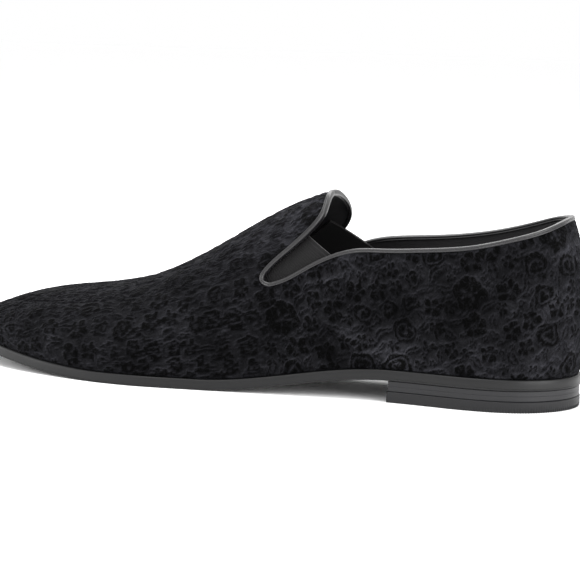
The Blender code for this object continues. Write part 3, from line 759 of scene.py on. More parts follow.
def velvet_material():
    """Black cotton velvet, cut pile on a flatter ground.

    The pile drinks the light seen straight on and its tips glow at a slant; the ground
    between the flowers is woven flatter, so it is a little lighter. Round each petal a painted
    highlight stands in for the thin line of light that the leaning pile catches. The colour
    is cloth by pile, mixed with the curled lines and the painted rim highlight, times four
    noises and the nap mark: the brushed nap with painted sheen and shade, times the painted
    shading of the relief's slopes.
    """
    made, tree, shader = new_material("velvet_cut_pile", {
        "Roughness": 0.85,
        "Specular IOR Level": 0.03,
        "Sheen Weight": 0.06,
        "Sheen Roughness": 0.35,
        "Sheen Tint": colour("b9bac2"),
    })
    place = add_node(tree, "TexCoord")
    pile = add_node(tree, "Attribute", {"attribute_name": "pile"})
    # Nap mark: brushed nap with painted sheen and shade, times painted shading of the relief's slopes
    tone = (add_node(tree, "Attribute", {"attribute_name": "brushed_and_painted_light"}), "Fac")
    normal = {}
    for per_metre, detail, distortion, darkest, lightest, strength, height in NAP_NOISES:
        noise = add_node(tree, "TexNoise",
                         {"Scale": per_metre, "Detail": detail, "Distortion": distortion},
                         {"Vector": (place, "Object")})
        shade = add_node(tree, "MapRange", {**NOISE_RANGE, "To Min": darkest, "To Max": lightest},
                         {"Value": (noise, "Fac")})
        tone = (add_node(tree, "Math", {"operation": "MULTIPLY"}, {0: tone, 1: (shade, 0)}), 0)
        if strength:
            bump = add_node(tree, "Bump", {"Strength": strength, "Distance": height},
                            {"Height": (noise, "Fac"), **normal})
            normal = {"Normal": (bump, "Normal")}
    # Curled lines in the dark petals: where a noise crosses its middle value
    curls = add_node(tree, "TexNoise", {"Scale": CURLS_PER_METRE, "Detail": 1.0, "Distortion": 1.2},
                     {"Vector": (place, "Object")})
    off_line = add_node(tree, "Math", {"operation": "SUBTRACT", 1: 0.5}, {0: (curls, "Fac")})
    off_line = add_node(tree, "Math", {"operation": "ABSOLUTE"}, {0: (off_line, 0)})
    curled = add_node(tree, "MapRange", {"From Max": CURL_WIDTH, "To Min": CURL_SHARE, "To Max": 0.0},
                      {"Value": (off_line, 0)})
    curled = add_node(tree, "Math", {"operation": "MULTIPLY"}, {0: (curled, 0), 1: (pile, "Fac")})
    # Painted highlight round each petal, in place of the light the leaning pile catches: the pile's share
    # times the ground's
    ground = add_node(tree, "Math", {"operation": "SUBTRACT", 0: 1.0}, {1: (pile, "Fac")})
    rim_highlight = add_node(tree, "Math", {"operation": "MULTIPLY"}, {0: (pile, "Fac"), 1: (ground, 0)})
    rim_highlight = add_node(tree, "Math", {"operation": "MULTIPLY", 1: RIM_HIGHLIGHT_GAIN}, {0: (rim_highlight, 0)})
    lines = add_node(tree, "Math", {"operation": "MAXIMUM", "use_clamp": True},
                     {0: (rim_highlight, 0), 1: (curled, 0)})
    cloth = add_node(tree, "Mix", {"data_type": "RGBA", 6: colour("121214"), 7: colour("020202")},
                     {0: (pile, "Fac")})
    # Colour of the lines: the curled lines of the pattern, and the painted rim highlight
    lined = add_node(tree, "Mix", {"data_type": "RGBA", 7: colour("1b1b1e")},
                     {0: (lines, 0), 6: (cloth, 2)})
    toned = add_node(tree, "VectorMath", {"operation": "SCALE"}, {0: (lined, 2), "Scale": tone})
    tree.links.new(toned.outputs[0], shader.inputs["Base Color"])
    tree.links.new(bump.outputs["Normal"], shader.inputs["Normal"])
    return made


def mottle(tree, shader, base, per_metre, detail, darkest, lightest):
    """Base colour times a noise; returns the texture place and the noise for more use."""
    place = add_node(tree, "TexCoord")
    noise = add_node(tree, "TexNoise", {"Scale": per_metre, "Detail": detail},
                     {"Vector": (place, "Object")})
    shade = add_node(tree, "MapRange", {**NOISE_RANGE, "To Min": darkest, "To Max": lightest},
                     {"Value": (noise, "Fac")})
    toned = add_node(tree, "VectorMath", {"operation": "SCALE", 0: colour(base)[:3]},
                     {"Scale": (shade, "Result")})
    tree.links.new(toned.outputs[0], shader.inputs["Base Color"])
    return place, noise


def rub(tree, shader, noise, smoothest, roughest):
    """Roughness that follows a noise, as worn and matt spots do."""
    worn = add_node(tree, "MapRange", {**NOISE_RANGE, "To Min": smoothest, "To Max": roughest},
                    {"Value": (noise, "Fac")})
    tree.links.new(worn.outputs[0], shader.inputs["Roughness"])


def leather_material(name, base, roughness, grain_mm, depth):
    """Drum-dyed calf: small rounded cells of grain, darker in the creases between them."""
    made, tree, shader = new_material(name, {
        "Roughness": roughness,
        "Specular IOR Level": 0.5,
        "Coat Weight": 0.10,
        "Coat Roughness": 0.25,
    })
    place, noise = mottle(tree, shader, base, per_metre=120.0, detail=3.0, darkest=0.8, lightest=1.2)
    rub(tree, shader, noise, roughness - 0.06, roughness + 0.08)
    cells = add_node(tree, "TexVoronoi", {"Scale": 1000 / grain_mm, "Randomness": 1.0},
                     {"Vector": (place, "Object")})
    bump = add_node(tree, "Bump", {"Strength": depth, "Distance": 0.0002}, {"Height": (cells, "Distance")})
    tree.links.new(bump.outputs["Normal"], shader.inputs["Normal"])
    return made


def thread_material():
    """Waxed polyester thread: black, with a slight shine on its twist."""
    made, tree, shader = new_material("waxed_thread", {"Roughness": 0.42, "Specular IOR Level": 0.5})
    mottle(tree, shader, "1f1e20", per_metre=3000.0, detail=1.0, darkest=0.7, lightest=1.4)
    return made


def elastic_material(name, base):
    """Woven elastic webbing: close ribs of rubber thread under a dull polyester face, with
    painted shade in the gaps between the ribs and painted light on their backs."""
    made, tree, shader = new_material(name, {
        "Roughness": 0.62,
        "Specular IOR Level": 0.2,
        "Sheen Weight": 0.05,
        "Sheen Roughness": 0.4,
    })
    rib = add_node(tree, "Attribute", {"attribute_name": "rib"})
    along = add_node(tree, "Attribute", {"attribute_name": "along"})
    angle = add_node(tree, "Math", {"operation": "MULTIPLY", 1: WEFT_TURNS}, {0: (along, "Fac")})
    weft = add_node(tree, "Math", {"operation": "SINE"}, {0: (angle, 0)})
    # Painted light and shade: the colour follows the rib's height, darker in its gaps
    shade = add_node(tree, "MapRange", {"To Min": 0.6, "To Max": 1.3}, {"Value": (rib, "Fac")})
    toned = add_node(tree, "VectorMath", {"operation": "SCALE", 0: colour(base)[:3]},
                     {"Scale": (shade, "Result")})
    tree.links.new(toned.outputs[0], shader.inputs["Base Color"])
    bump = add_node(tree, "Bump", {"Strength": 0.25, "Distance": 0.0002}, {"Height": (weft, "Value")})
    tree.links.new(bump.outputs["Normal"], shader.inputs["Normal"])
    return made


def rubber_material(name, base, roughness, tread_per_metre=0.0):
    """Moulded rubber: dense and matt, with the fine haze of the mould and rubbed spots.

    Faces that look down carry a tread of fine cross lines, which breaks the shine underneath.
    """
    made, tree, shader = new_material(name, {
        "Roughness": roughness,
        "Specular IOR Level": 0.32,
    })
    place, noise = mottle(tree, shader, base, per_metre=60.0, detail=4.0, darkest=0.85, lightest=1.15)
    rub(tree, shader, noise, roughness - 0.08, roughness + 0.08)
    haze = add_node(tree, "TexNoise", {"Scale": 900.0, "Detail": 3.0}, {"Vector": (place, "Object")})
    bump = add_node(tree, "Bump", {"Strength": 0.12, "Distance": 0.0002}, {"Height": (haze, "Fac")})
    if tread_per_metre:
        wave = add_node(tree, "TexWave", {"Scale": tread_per_metre, "Distortion": 0.0},
                        {"Vector": (place, "Object")})
        facing = add_node(tree, "SeparateXYZ", {}, {0: (add_node(tree, "NewGeometry"), "Normal")})
        below = add_node(tree, "MapRange", {"From Min": -0.6, "From Max": -0.9}, {"Value": (facing, "Z")})
        tread = add_node(tree, "Math", {"operation": "MULTIPLY"}, {0: (wave, "Fac"), 1: (below, 0)})
        bump = add_node(tree, "Bump", {"Strength": 0.9, "Distance": 0.0005},
                        {"Height": (tread, 0), "Normal": (bump, "Normal")})
    tree.links.new(bump.outputs["Normal"], shader.inputs["Normal"])
    return made


# The upper
def vamp_grid(rows, wall_columns, tongue_columns):
    """Places of the vamp: arches from the toe line back to the notch and the tongue's edge."""
    foot_share, foot_height = TOPLINE_ROWS[0][:2]
    half = wall_columns + tongue_columns
    sides = []
    back = np.linspace(0, 1, rows + 1)[:, None]
    ease = back * back * (3 - 2 * back)
    toe_girth = np.linspace(0, 1, half + 1)[None, :]
    for side in (-1, 1):
        foot_around = side * turn_of(foot_share)
        foot_girth = girth_at(np.array([foot_around]), foot_height * LENGTH)[0]
        edge_around, edge_girth = evenly(*tongue_edge(side), tongue_columns + 1)
        rib = np.linspace(0, foot_girth, wall_columns + 1)[:-1]
        rear_around = np.concatenate([np.full(wall_columns, foot_around), edge_around])[None, :]
        rear_girth = np.concatenate([rib, edge_girth])[None, :]
        around = side * (1 + (np.abs(rear_around) - 1) * back)
        girth = toe_girth + (rear_girth - toe_girth) * ease
        sides.append((around, girth))
    (outer_around, outer_girth), (inner_around, inner_girth) = sides
    around = np.concatenate([outer_around, inner_around[:, ::-1][:, 1:]], axis=1)
    girth = np.concatenate([outer_girth, inner_girth[:, ::-1][:, 1:]], axis=1)
    return around, girth


def quarter_grid(columns, rows):
    """Places of both quarters: ribs from the outer notch round the heel to the inner notch."""
    outer = evenly(*quarter_top(-1), columns + 1)
    inner = evenly(*quarter_top(1), columns + 1)
    around = np.concatenate([outer[0], inner[0][::-1][1:]])[:, None]
    top = np.concatenate([outer[1], inner[1][::-1][1:]])[:, None]
    share = np.linspace(0, 1, rows + 1)[None, :]
    return np.broadcast_to(around, (len(around), rows + 1)), top * share


def edge_line():
    """Closed line along the whole edge of the upper, in equal steps."""
    halves = []
    for side in (-1, 1):
        tongue = evenly(*tongue_edge(side), EDGE_TONGUE_STEPS)
        quarter = evenly(*quarter_top(side), EDGE_QUARTER_STEPS)
        halves.append([np.concatenate([t[::-1], q[1:]]) for t, q in zip(tongue, quarter)])
    outer, inner = halves
    around = np.concatenate([outer[0], inner[0][::-1][1:-1]])
    girth = np.concatenate([outer[1], inner[1][::-1][1:-1]])
    return around, girth


def distance_to(points, line):
    """Distance from each point to the nearest point of a line, in blocks."""
    flat = points.reshape(-1, 3)
    found = []
    for start in range(0, len(flat), BLOCK):
        block = flat[start:start + BLOCK]
        squares = (block**2).sum(1)[:, None] + (line**2).sum(1)[None, :] - 2 * block @ line.T
        found.append(np.sqrt(np.maximum(squares.min(axis=1), 0)))
    return np.concatenate(found).reshape(points.shape[:-1])


CREASES = (
    # side, depth in mm (below 0 a ridge), half width in mm, points as x and z in mm
    (-1, 1.0, 1.7, ((-72, 36), (-67, 31), (-60, 25), (-54, 19), (-48, 13))),
    (-1, -0.9, 1.8, ((-70, 38), (-65, 33), (-58, 28), (-51, 22), (-45, 16))),
    (-1, -0.5, 1.3, ((-56, 25), (-51, 22), (-44, 22), (-39, 20), (-35, 16))),
    (-1, -0.35, 1.1, ((-84, 17), (-79, 15), (-74, 14), (-69, 14))),
    (-1, 0.30, 1.2, ((-104, 30), (-96, 27), (-88, 24), (-78, 23))),
    (-1, -0.35, 1.6, ((-74, 52), (-66, 54), (-58, 58), (-50, 62))),
    (1, 0.7, 2.4, ((-80, 38), (-70, 32), (-60, 25), (-52, 18))),
    (1, -0.6, 2.4, ((-77, 41), (-67, 35), (-57, 28), (-49, 21))),
    (1, 0.35, 1.6, ((-110, 30), (-101, 26), (-92, 24), (-84, 22))),
)

BRUSHED_AND_PAINTED_LIGHT = (
    # x and z in mm, radius in mm, how much lighter the patch looks: brushed nap, painted
    # sheen where the pile is seen at a slant and painted light beside the folds; below 0
    # painted shade, low on the vamp and beside the folds
    (-229, 21, 7, 0.35),
    (-200, 39, 7, 0.30),
    (-180, 24, 9, -0.25),
    (-146, 29, 6, 0.35),
    (-157, 12, 10, -0.25),
    (-111, 20, 16, -0.36),
    (-92, 84, 20, 1.05),
    (-113, 72, 8, 0.90),
    (-76, 88, 10, 0.80),
    (-66, 54, 5, 0.50),
    (-58, 58, 5, 0.55),
    (-60, 31, 4, 0.60),
    (-51, 28, 5, 1.10),
    (-41, 24, 6, 1.10),
    (-33, 19, 7, 1.10),
    (-64, 20, 6, -0.65),
    (-72, 26, 6, -0.45),
    (-14, 14, 8, 0.95),
    (6, 14, 9, 0.85),
    (28, 18, 8, 0.80),
    (-34, 46, 12, -0.38),
    (-8, 44, 12, -0.34),
    (38, 50, 8, 0.80),
    (44, 36, 8, 0.95),
    (42, 24, 8, 0.60),
    (40, 72, 7, 0.80),
    (-60, 66, 4, 0.70),
)

# The way to the light, how much a slope gains by it, and the least and most it may look
SLANT_WAY = (-0.45, 0.0, 0.9)
SLANT_GAIN = 1.5
SLANT_LIMITS = (0.35, 2.6)
CREASE_ENDS = (0.02, 0.98)
CREASE_POWER = 0.6
SEAM_DEPTH_MM = 0.35
SEAM_HALF_WIDTH_MM = 0.5


def creases(points):
    """Soft troughs and ridges: a bell across each line, faded at its two ends by a sine."""
    total = np.zeros(points.shape[:-1])
    strength = np.sin(np.pi * np.linspace(*CREASE_ENDS, CREASE_STEPS)) ** CREASE_POWER
    for side, depth, half_width, mark in CREASES:
        mark = np.array(mark, float) / 1000
        at = np.linspace(0, len(mark) - 1, CREASE_STEPS)
        x = np.interp(at, range(len(mark)), mark[:, 0])
        z = np.interp(at, range(len(mark)), mark[:, 1])
        gap = np.hypot(points[..., 0, None] - x, points[..., 2, None] - z)
        nearest = gap.argmin(axis=-1)
        gap = gap.min(axis=-1) * 1000
        bell = np.exp(-(gap / half_width) ** 2) * strength[nearest]
        total -= np.where(points[..., 1] * side > 0, bell * depth, 0) / 1000
    return total


def brushed_nap_and_painted_light(points):
    """How light the nap looks: one, and a bell for each patch; the patches are brushed nap
    with painted sheen, painted light and painted shade.
    """
    light = np.ones(points.shape[:-1])
    for x, z, radius, gain in BRUSHED_AND_PAINTED_LIGHT:
        gap = np.hypot(points[..., 0] * 1000 - x, points[..., 2] * 1000 - z)
        light += gain * np.exp(-(gap / radius) ** 2)
    return light


def slant_light(points, normals):
    """How light the slopes of the relief look: one, and more where the pile leans upwards,
    by the change of the normal along the way to the light."""
    leaning = grid_normals(points)
    leaning *= np.sign((leaning * normals).sum(axis=-1, keepdims=True))
    slant = (leaning - normals) @ unit(np.array(SLANT_WAY))
    return np.clip(1 + SLANT_GAIN * slant, *SLANT_LIMITS)


def back_seam(points):
    """Trough of the seam that joins both quarters at the back: a bell off its line."""
    top = quarter_top(1)[1][-1]
    seam = last(np.zeros(SEAM_STEPS), np.linspace(0, top, SEAM_STEPS))
    gap = distance_to(points, seam) * 1000
    return -SEAM_DEPTH_MM / 1000 * np.exp(-(gap / SEAM_HALF_WIDTH_MM) ** 2)


# How far inside the feather edge the margin's rows lie
TURNED_MM = (0.5, 1.8, 5.0)


def turned_under(around, first):
    """Points of the margin under the feather edge, from far inside out to the edge or back."""
    columns = []
    low = feather_height(turn_at(around))
    for inset in TURNED_MM:
        x, y = plan(around, SOLE_MARGIN + inset / 1000)
        columns.append(np.stack([x, y, low], axis=-1))
    return np.stack(columns[::-1] if first else columns, axis=1)


def raised(around, girth, flowers, edge_points):
    """Points, pile and nap of the velvet: the last lifted along its normals by pile and creases.
    The nap holds the brushed nap with painted sheen and shade, times painted shading of the slopes.
    """
    base = last(around, girth)
    normals = grid_normals(base)
    height, dark = floral_relief(base, normals, flowers)
    edge = distance_to(base, edge_points) * 1000
    foot = (base[..., 2] - feather_height(turn_at(around))) * 1000
    fade = np.clip(edge / EDGE_FADE_MM, 0, 1) * np.clip(FOOT_FADE_START + foot / FOOT_FADE_MM, 0, 1)
    lift = height * fade * PILE_MM / 1000 + creases(base) + back_seam(base)
    points = base + normals * lift[..., None]
    return points, dark, brushed_nap_and_painted_light(base) * slant_light(points, normals)


def velvet_pieces(material):
    """Vamp and quarters of the velvet, shaded as one cloth where they meet under the notch."""
    grids = {"velvet_vamp": vamp_grid(VAMP_ROWS, WALL_STEPS, TONGUE_STEPS),
             "velvet_quarters": quarter_grid(QUARTER_STEPS, WALL_STEPS)}
    edge_points = last(*edge_line())
    places = []
    normals = []
    for around, girth in grids.values():
        coarse = last(around[::COARSE_STEP, ::COARSE_STEP], girth[::COARSE_STEP, ::COARSE_STEP])
        places.append(coarse.reshape(-1, 3))
        normals.append(grid_normals(coarse).reshape(-1, 3))
    flowers = scattered_flowers(np.concatenate(places), np.concatenate(normals), charted_flowers())
    extra = len(TURNED_MM)
    pieces = []
    numbers = []
    for name, (around, girth) in grids.items():
        points, pile, nap_and_painted_light = raised(around, girth, flowers, edge_points)
        strips = [turned_under(around[:, 0], True), points]
        margins = (extra, 0)
        if name == "velvet_vamp":
            strips.append(turned_under(around[:, -1], False))
            margins = (extra, extra)
        points = np.concatenate(strips, axis=1)
        # The nap mark paints sheen and shade into the colour along with the brushed nap
        marks = {"brushed_and_painted_light": np.pad(nap_and_painted_light, ((0, 0), margins), "edge"),
                 "pile": np.pad(pile, ((0, 0), margins))}
        pieces.append(add_piece(name, points, grid_quads(*points.shape[:2]), material,
                                ("upper",), marks))
        numbers.append(grid_numbers(points))
    meeting = WALL_STEPS + 1 + extra
    vamp, quarter = numbers
    share_shading(*pieces,
                  np.concatenate([vamp[-1, :meeting], vamp[-1, -meeting:][::-1]]),
                  np.concatenate([quarter[0, :meeting], quarter[-1, :meeting]]))


def share_shading(first, second, first_numbers, second_numbers):
    """Gives the points where two pieces meet the mean of their normals."""
    found = []
    for piece in (first, second):
        normals = np.zeros(len(piece.data.vertices) * 3)
        piece.data.vertex_normals.foreach_get("vector", normals)
        found.append(normals.reshape(-1, 3))
    mean = unit(found[0][first_numbers] + found[1][second_numbers])
    found[0][first_numbers] = mean
    found[1][second_numbers] = mean
    for piece, normals in zip((first, second), found):
        piece.data.normals_split_custom_set_from_vertices([tuple(normal) for normal in normals])


def lining_piece(material):
    """Lining inside the upper: the last moved inwards by the wall, facing the foot."""
    vamp = vamp_grid(VAMP_ROWS // LINING_SHARE, WALL_STEPS // LINING_SHARE, TONGUE_STEPS // LINING_SHARE)
    quarter = quarter_grid(QUARTER_STEPS // LINING_SHARE, WALL_STEPS // LINING_SHARE)
    start = 0
    points = []
    quads = []
    for around, girth in (vamp, quarter):
        base = last(around, girth)
        inside = base - grid_normals(base) * WALL
        quads.append(grid_quads(*inside.shape[:2])[:, ::-1] + start)
        points.append(inside.reshape(-1, 3))
        start += len(points[-1])
    return add_piece("lining", np.concatenate(points), np.concatenate(quads), material,
                     ("upper",))


def swept_frame():
    """Line along the edge of the upper with its outward and upward ways at each point."""
    around, girth = edge_line()
    skin = last(around, girth)
    normal = outward(around, girth)
    tangent = unit(np.roll(skin, -1, axis=0) - np.roll(skin, 1, axis=0))
    normal = unit(normal - (normal * tangent).sum(axis=-1, keepdims=True) * tangent)
    return skin - normal * WALL / 2, normal, np.cross(normal, tangent), tangent


BINDING_HALF_MM = (
    # out from the middle of the wall, up from its edge
    (1.02, 0.04),
    (1.02, -1.28),
    (1.24, -1.38),
    (1.45, -1.28),
    (1.54, -1.04),
    (1.47, -0.82),
    (1.28, -0.68),
    (1.23, -0.56),
    (1.28, -0.44),
    (1.47, -0.30),
    (1.55, -0.06),
    (1.44, 0.26),
    (1.10, 0.50),
    (0.60, 0.63),
    (0.00, 0.68),
)

# Stitches in the groove of the binding: half sizes along, up and out, and the place
STITCH_PITCH_MM = 2.3
STITCH_SIZE_MM = (0.78, 0.13, 0.10)
STITCH_PLACE_MM = (1.27, -0.56)
STITCH_RINGS = 7
STITCH_SIDES = 8


def binding_piece(material):
    """Binding: a folded strip with a rolled bead on each side of its sewn groove, the half
    section and its mirror image carried along the edge."""
    middle, normal, rise, _ = swept_frame()
    half = np.array(BINDING_HALF_MM) / 1000
    section = np.concatenate([half, half[::-1][1:] * (-1, 1)])
    points = middle[:, None] + normal[:, None] * section[None, :, :1] + rise[:, None] * section[None, :, 1:]
    quads = grid_quads(*points.shape[:2], wrap=True)
    numbers = grid_numbers(points)
    joint = np.stack([numbers[-1], numbers[0], np.roll(numbers[0], -1), np.roll(numbers[-1], -1)], axis=-1)
    return add_piece("topline_strip", points, np.concatenate([quads, joint]), material,
                     ("topline_binding",))


def stitch_piece(material):
    """Stitches along the groove on both faces of the binding: small pods laid end to end."""
    middle, normal, rise, tangent = swept_frame()
    steps = np.linalg.norm(np.roll(middle, -1, axis=0) - middle, axis=-1) * 1000
    run = np.concatenate([[0], np.cumsum(steps)])
    count = int(run[-1] / STITCH_PITCH_MM)
    at = (np.arange(count) + 0.5) / count * run[-1]

    def along_line(values):
        closed = np.concatenate([values, values[:1]])
        return np.stack([np.interp(at, run, closed[:, axis]) for axis in range(3)], axis=-1)

    centre, out, up, ahead = (along_line(values) for values in (middle, normal, rise, tangent))
    lengthwise = np.linspace(-1, 1, STITCH_RINGS)
    round_it = np.linspace(0, 2 * np.pi, STITCH_SIDES + 1)[:-1]
    thick = np.sqrt(np.clip(1 - lengthwise**2, 0, 1))[:, None]
    half_length, half_width, half_height = np.array(STITCH_SIZE_MM) / 1000
    away, lift = np.array(STITCH_PLACE_MM) / 1000
    pods = []
    for side in (1, -1):
        heart = centre + out * away * side + up * lift
        pods.append(heart[:, None, None] + ahead[:, None, None] * (lengthwise[:, None, None] * half_length)
                    + up[:, None, None] * (thick * np.cos(round_it) * half_width)[..., None]
                    + out[:, None, None] * (thick * np.sin(round_it) * half_height)[..., None])
    pods = np.concatenate(pods)
    starts = np.arange(len(pods)) * STITCH_RINGS * STITCH_SIDES
    quads = grid_quads(STITCH_RINGS, STITCH_SIDES, wrap=True)[None] + starts[:, None, None]
    piece = add_piece("binding_stitches", pods, quads.reshape(-1, 4), material)
    close_mesh(piece)
    return piece


def wall_strip(material):
    """Cut edge of the upper under the binding: from the skin to the lining."""
    middle, normal, _, _ = swept_frame()
    points = np.stack([middle + normal * WALL / 2, middle - normal * WALL / 2], axis=0)
    quads = grid_quads(2, points.shape[1], wrap=True)
    return add_piece("cut_edge", points, quads, material, ("upper",))


def gore_piece(name, side, material, replaced):
    """Elastic gore: a thin sheet between its four corners, parallel to the last, with the
    ribs of its webbing raised as a wave up the sheet and a bead along its top edge."""
    corner = {}
    for key, row in GORE_CORNERS.items():
        corner[key] = np.array([row[0], row[side_column(side)]])
    rise = np.linspace(0, 1, GORE_ROWS)[:, None]
    back = np.linspace(0, 1, GORE_COLUMNS)[None, :]
    place = []
    for axis in (0, 1):
        foot = corner["front foot"][axis] * (1 - back) + corner["back foot"][axis] * back
        top = corner["front top"][axis] * (1 - back) + corner["back top"][axis] * back
        place.append(foot * (1 - rise) + top * rise)
    around = side * turn_of(place[0])
    girth = girth_at(around, place[1] * LENGTH)
    base = last(around, girth)
    inward = -grid_normals(base) * side
    near = WALL + 2 * CURVED_GAP + BINDING_THICKNESS
    ribs = 0.5 + 0.5 * np.cos(2 * np.pi * rise * GORE_HEIGHT_MM / RIB_PITCH_MM)
    down = (1 - rise) * GORE_HEIGHT_MM
    bead = sum(np.exp(-((down - middle) / half_width) ** 2) for middle, half_width in BEADS_MM)
    front = base + inward * (near - RIB_DEPTH * ribs - BEAD_DEPTH * bead)[..., None]
    rear = base + inward * (near + GORE_THICKNESS)
    points = np.concatenate([front, rear[:, ::-1]], axis=1)
    quads = grid_quads(*points.shape[:2], wrap=True)
    numbers = grid_numbers(points)
    caps = [numbers[0], numbers[-1][::-1]]
    flat = np.zeros(rear.shape[:2])
    along = np.broadcast_to(back, front.shape[:2])
    marks = {"rib": np.concatenate([np.broadcast_to(ribs, front.shape[:2]), flat], axis=1),
             "along": np.concatenate([along, along], axis=1)}
    piece = add_piece(name, points, quads, material, (replaced,), marks, caps)
    close_mesh(piece)
    return piece


# The bottom
def slab_piece(name, places, profile, material, replaced, straight=0):
    """Closed slab: the plan loop carried through a profile of insets and heights, its first
    and last loop filled by strips from side to side.

    An inset or height is a number or one value for each place; straight adds points along
    the line that closes an open loop.
    """
    loops = []
    for inset, height in profile:
        x, y = plan(places, inset)
        loop = np.stack([x, y, np.broadcast_to(height, x.shape)], axis=-1)
        if straight:
            share = np.linspace(0, 1, straight + 2)[1:-1, None]
            loop = np.concatenate([loop, loop[-1] * (1 - share) + loop[0] * share])
        loops.append(loop)
    points = np.stack(loops)
    numbers = grid_numbers(points)
    quads = [grid_quads(*points.shape[:2], wrap=True)]
    count = len(places)
    pairs = np.arange((count - 1) // 2)
    for ring, turned in ((numbers[0], False), (numbers[-1], True)):
        strip = np.stack([ring[pairs], ring[pairs + 1], ring[count - 2 - pairs], ring[count - 1 - pairs]], 1)
        quads.append(strip[:, ::-1] if turned else strip)
    piece = add_piece(name, points, np.concatenate(quads)[:, ::-1], material, (replaced,))
    close_mesh(piece)
    return piece


def close_mesh(piece):
    """Joins points that fall together at seams and poles, turns the faces outwards and keeps
    hard edges crisp."""
    work = bmesh.new()
    work.from_mesh(piece.data)
    bmesh.ops.remove_doubles(work, verts=work.verts, dist=1e-6)
    bmesh.ops.dissolve_degenerate(work, dist=1e-7, edges=work.edges)
    bmesh.ops.recalc_face_normals(work, faces=work.faces)
    work.to_mesh(piece.data)
    work.free()
    piece.data.set_sharp_from_angle(angle=np.radians(SHARP_TURN))


def outsole_piece(material):
    """Outsole: eased edges, and a fine line cut all round just over the tread."""
    around = np.linspace(-1, 1, 2 * SOLE_STEPS + 1)
    low = underside(np.abs(around))
    top = low + SOLE_THICKNESS
    return slab_piece("sole_unit", around, (
        (0.0060, low),
        (0.0005, low),
        (0.0001, low + 0.0002),
        (0.0000, low + 0.0007),
        (0.0001, low + 0.0008),
        (0.0001, low + 0.0010),
        (0.0000, low + 0.0011),
        (0.0000, low + 0.0026),
        (0.0000, top - 0.0006),
        (0.0002, top - 0.0002),
        (0.0006, top),
        (0.0060, top),
    ), material, "outsole")


def heel_around(breast):
    """Places round the heel from breast to breast."""
    return np.linspace(-1, 1, HEEL_STEPS + 1) * turn_of(breast)


def heel_block_piece(material):
    """Heel block: two lifts parted by a fine pressed line."""
    return slab_piece("heel_lifts", heel_around(HEEL_BREAST), (
        (0.0040, TOP_PIECE_HEIGHT + GLUED_GAP),
        (HEEL_INSET + 0.0002, TOP_PIECE_HEIGHT + GLUED_GAP),
        (HEEL_INSET, TOP_PIECE_HEIGHT + 0.0003),
        (HEEL_INSET, LIFT_LINE_HEIGHT),
        (HEEL_INSET + 0.0001, LIFT_LINE_HEIGHT + 0.0001),
        (HEEL_INSET + 0.0001, LIFT_LINE_HEIGHT + 0.0002),
        (HEEL_INSET, LIFT_LINE_HEIGHT + 0.0003),
        (HEEL_INSET, HEEL_HEIGHT - 0.0003),
        (HEEL_INSET + 0.0002, HEEL_HEIGHT - GLUED_GAP),
        (0.0040, HEEL_HEIGHT - GLUED_GAP),
    ), material, "heel_block", straight=BREAST_STEPS)


def top_piece(material):
    """Top piece: its lower edge nicked with small upright ribs round the back."""
    around = heel_around(TOP_PIECE_BREAST)
    x, y = plan(around, 0.0)
    run = np.concatenate([[0], np.cumsum(np.hypot(np.diff(x), np.diff(y)))]) * 1000
    back = np.clip((EDGE_RIB_END - share_of(np.abs(around))) / EDGE_RIB_FADE, 0, 1)
    ribs = (0.5 - 0.5 * np.cos(2 * np.pi * run / EDGE_RIB_PITCH_MM)) * EDGE_RIB_DEPTH * back
    return slab_piece("ribbed_top_piece", around, (
        (0.0060, 0.0),
        (ribs + 0.0006, 0.0),
        (ribs + 0.0002, 0.0003),
        (ribs + 0.0001, 0.0014),
        (0.0001, 0.0018),
        (0.0001, TOP_PIECE_HEIGHT - 0.0003),
        (0.0003, TOP_PIECE_HEIGHT - 0.0001),
        (0.0006, TOP_PIECE_HEIGHT),
        (0.0060, TOP_PIECE_HEIGHT),
    ), material, "top_piece", straight=BREAST_STEPS)


def insole_piece(material):
    """Leather sock on its board: a sheet from side to side, cupped by the square of its way
    across, with a rolled edge down to the margin."""
    turn = np.linspace(0, 1, 2 * SOLE_STEPS + 1)[:, None]
    near_toe = np.clip((share_of(turn) - TOE_TAPER_START) / (1 - TOE_TAPER_START), 0, 1)
    board = SOLE_MARGIN + WALL + INSOLE_SIDE_GAP + INSOLE_TOE_GAP * near_toe**2
    across = np.linspace(-1, 1, SOCK_STEPS)[None, :]
    x_outer, y_outer = plan(-turn, board)
    x_inner, y_inner = plan(turn, board)
    share = (across + 1) / 2
    x = x_outer * (1 - share) + x_inner * share
    y = y_outer * (1 - share) + y_inner * share
    top = feather_height(turn) + WALL + GLUED_GAP + INSOLE_THICKNESS
    roll = np.clip((np.abs(across) - SOCK_ROLL_START) / (1 - SOCK_ROLL_START), 0, 1)
    z = top - SOCK_CUP * (1 - across**2) - SOCK_ROLL * roll
    points = np.stack([x, y, z], axis=-1)
    return add_piece("leather_sock", points, grid_quads(*points.shape[:2])[:, ::-1], material,
                     ("insole",))


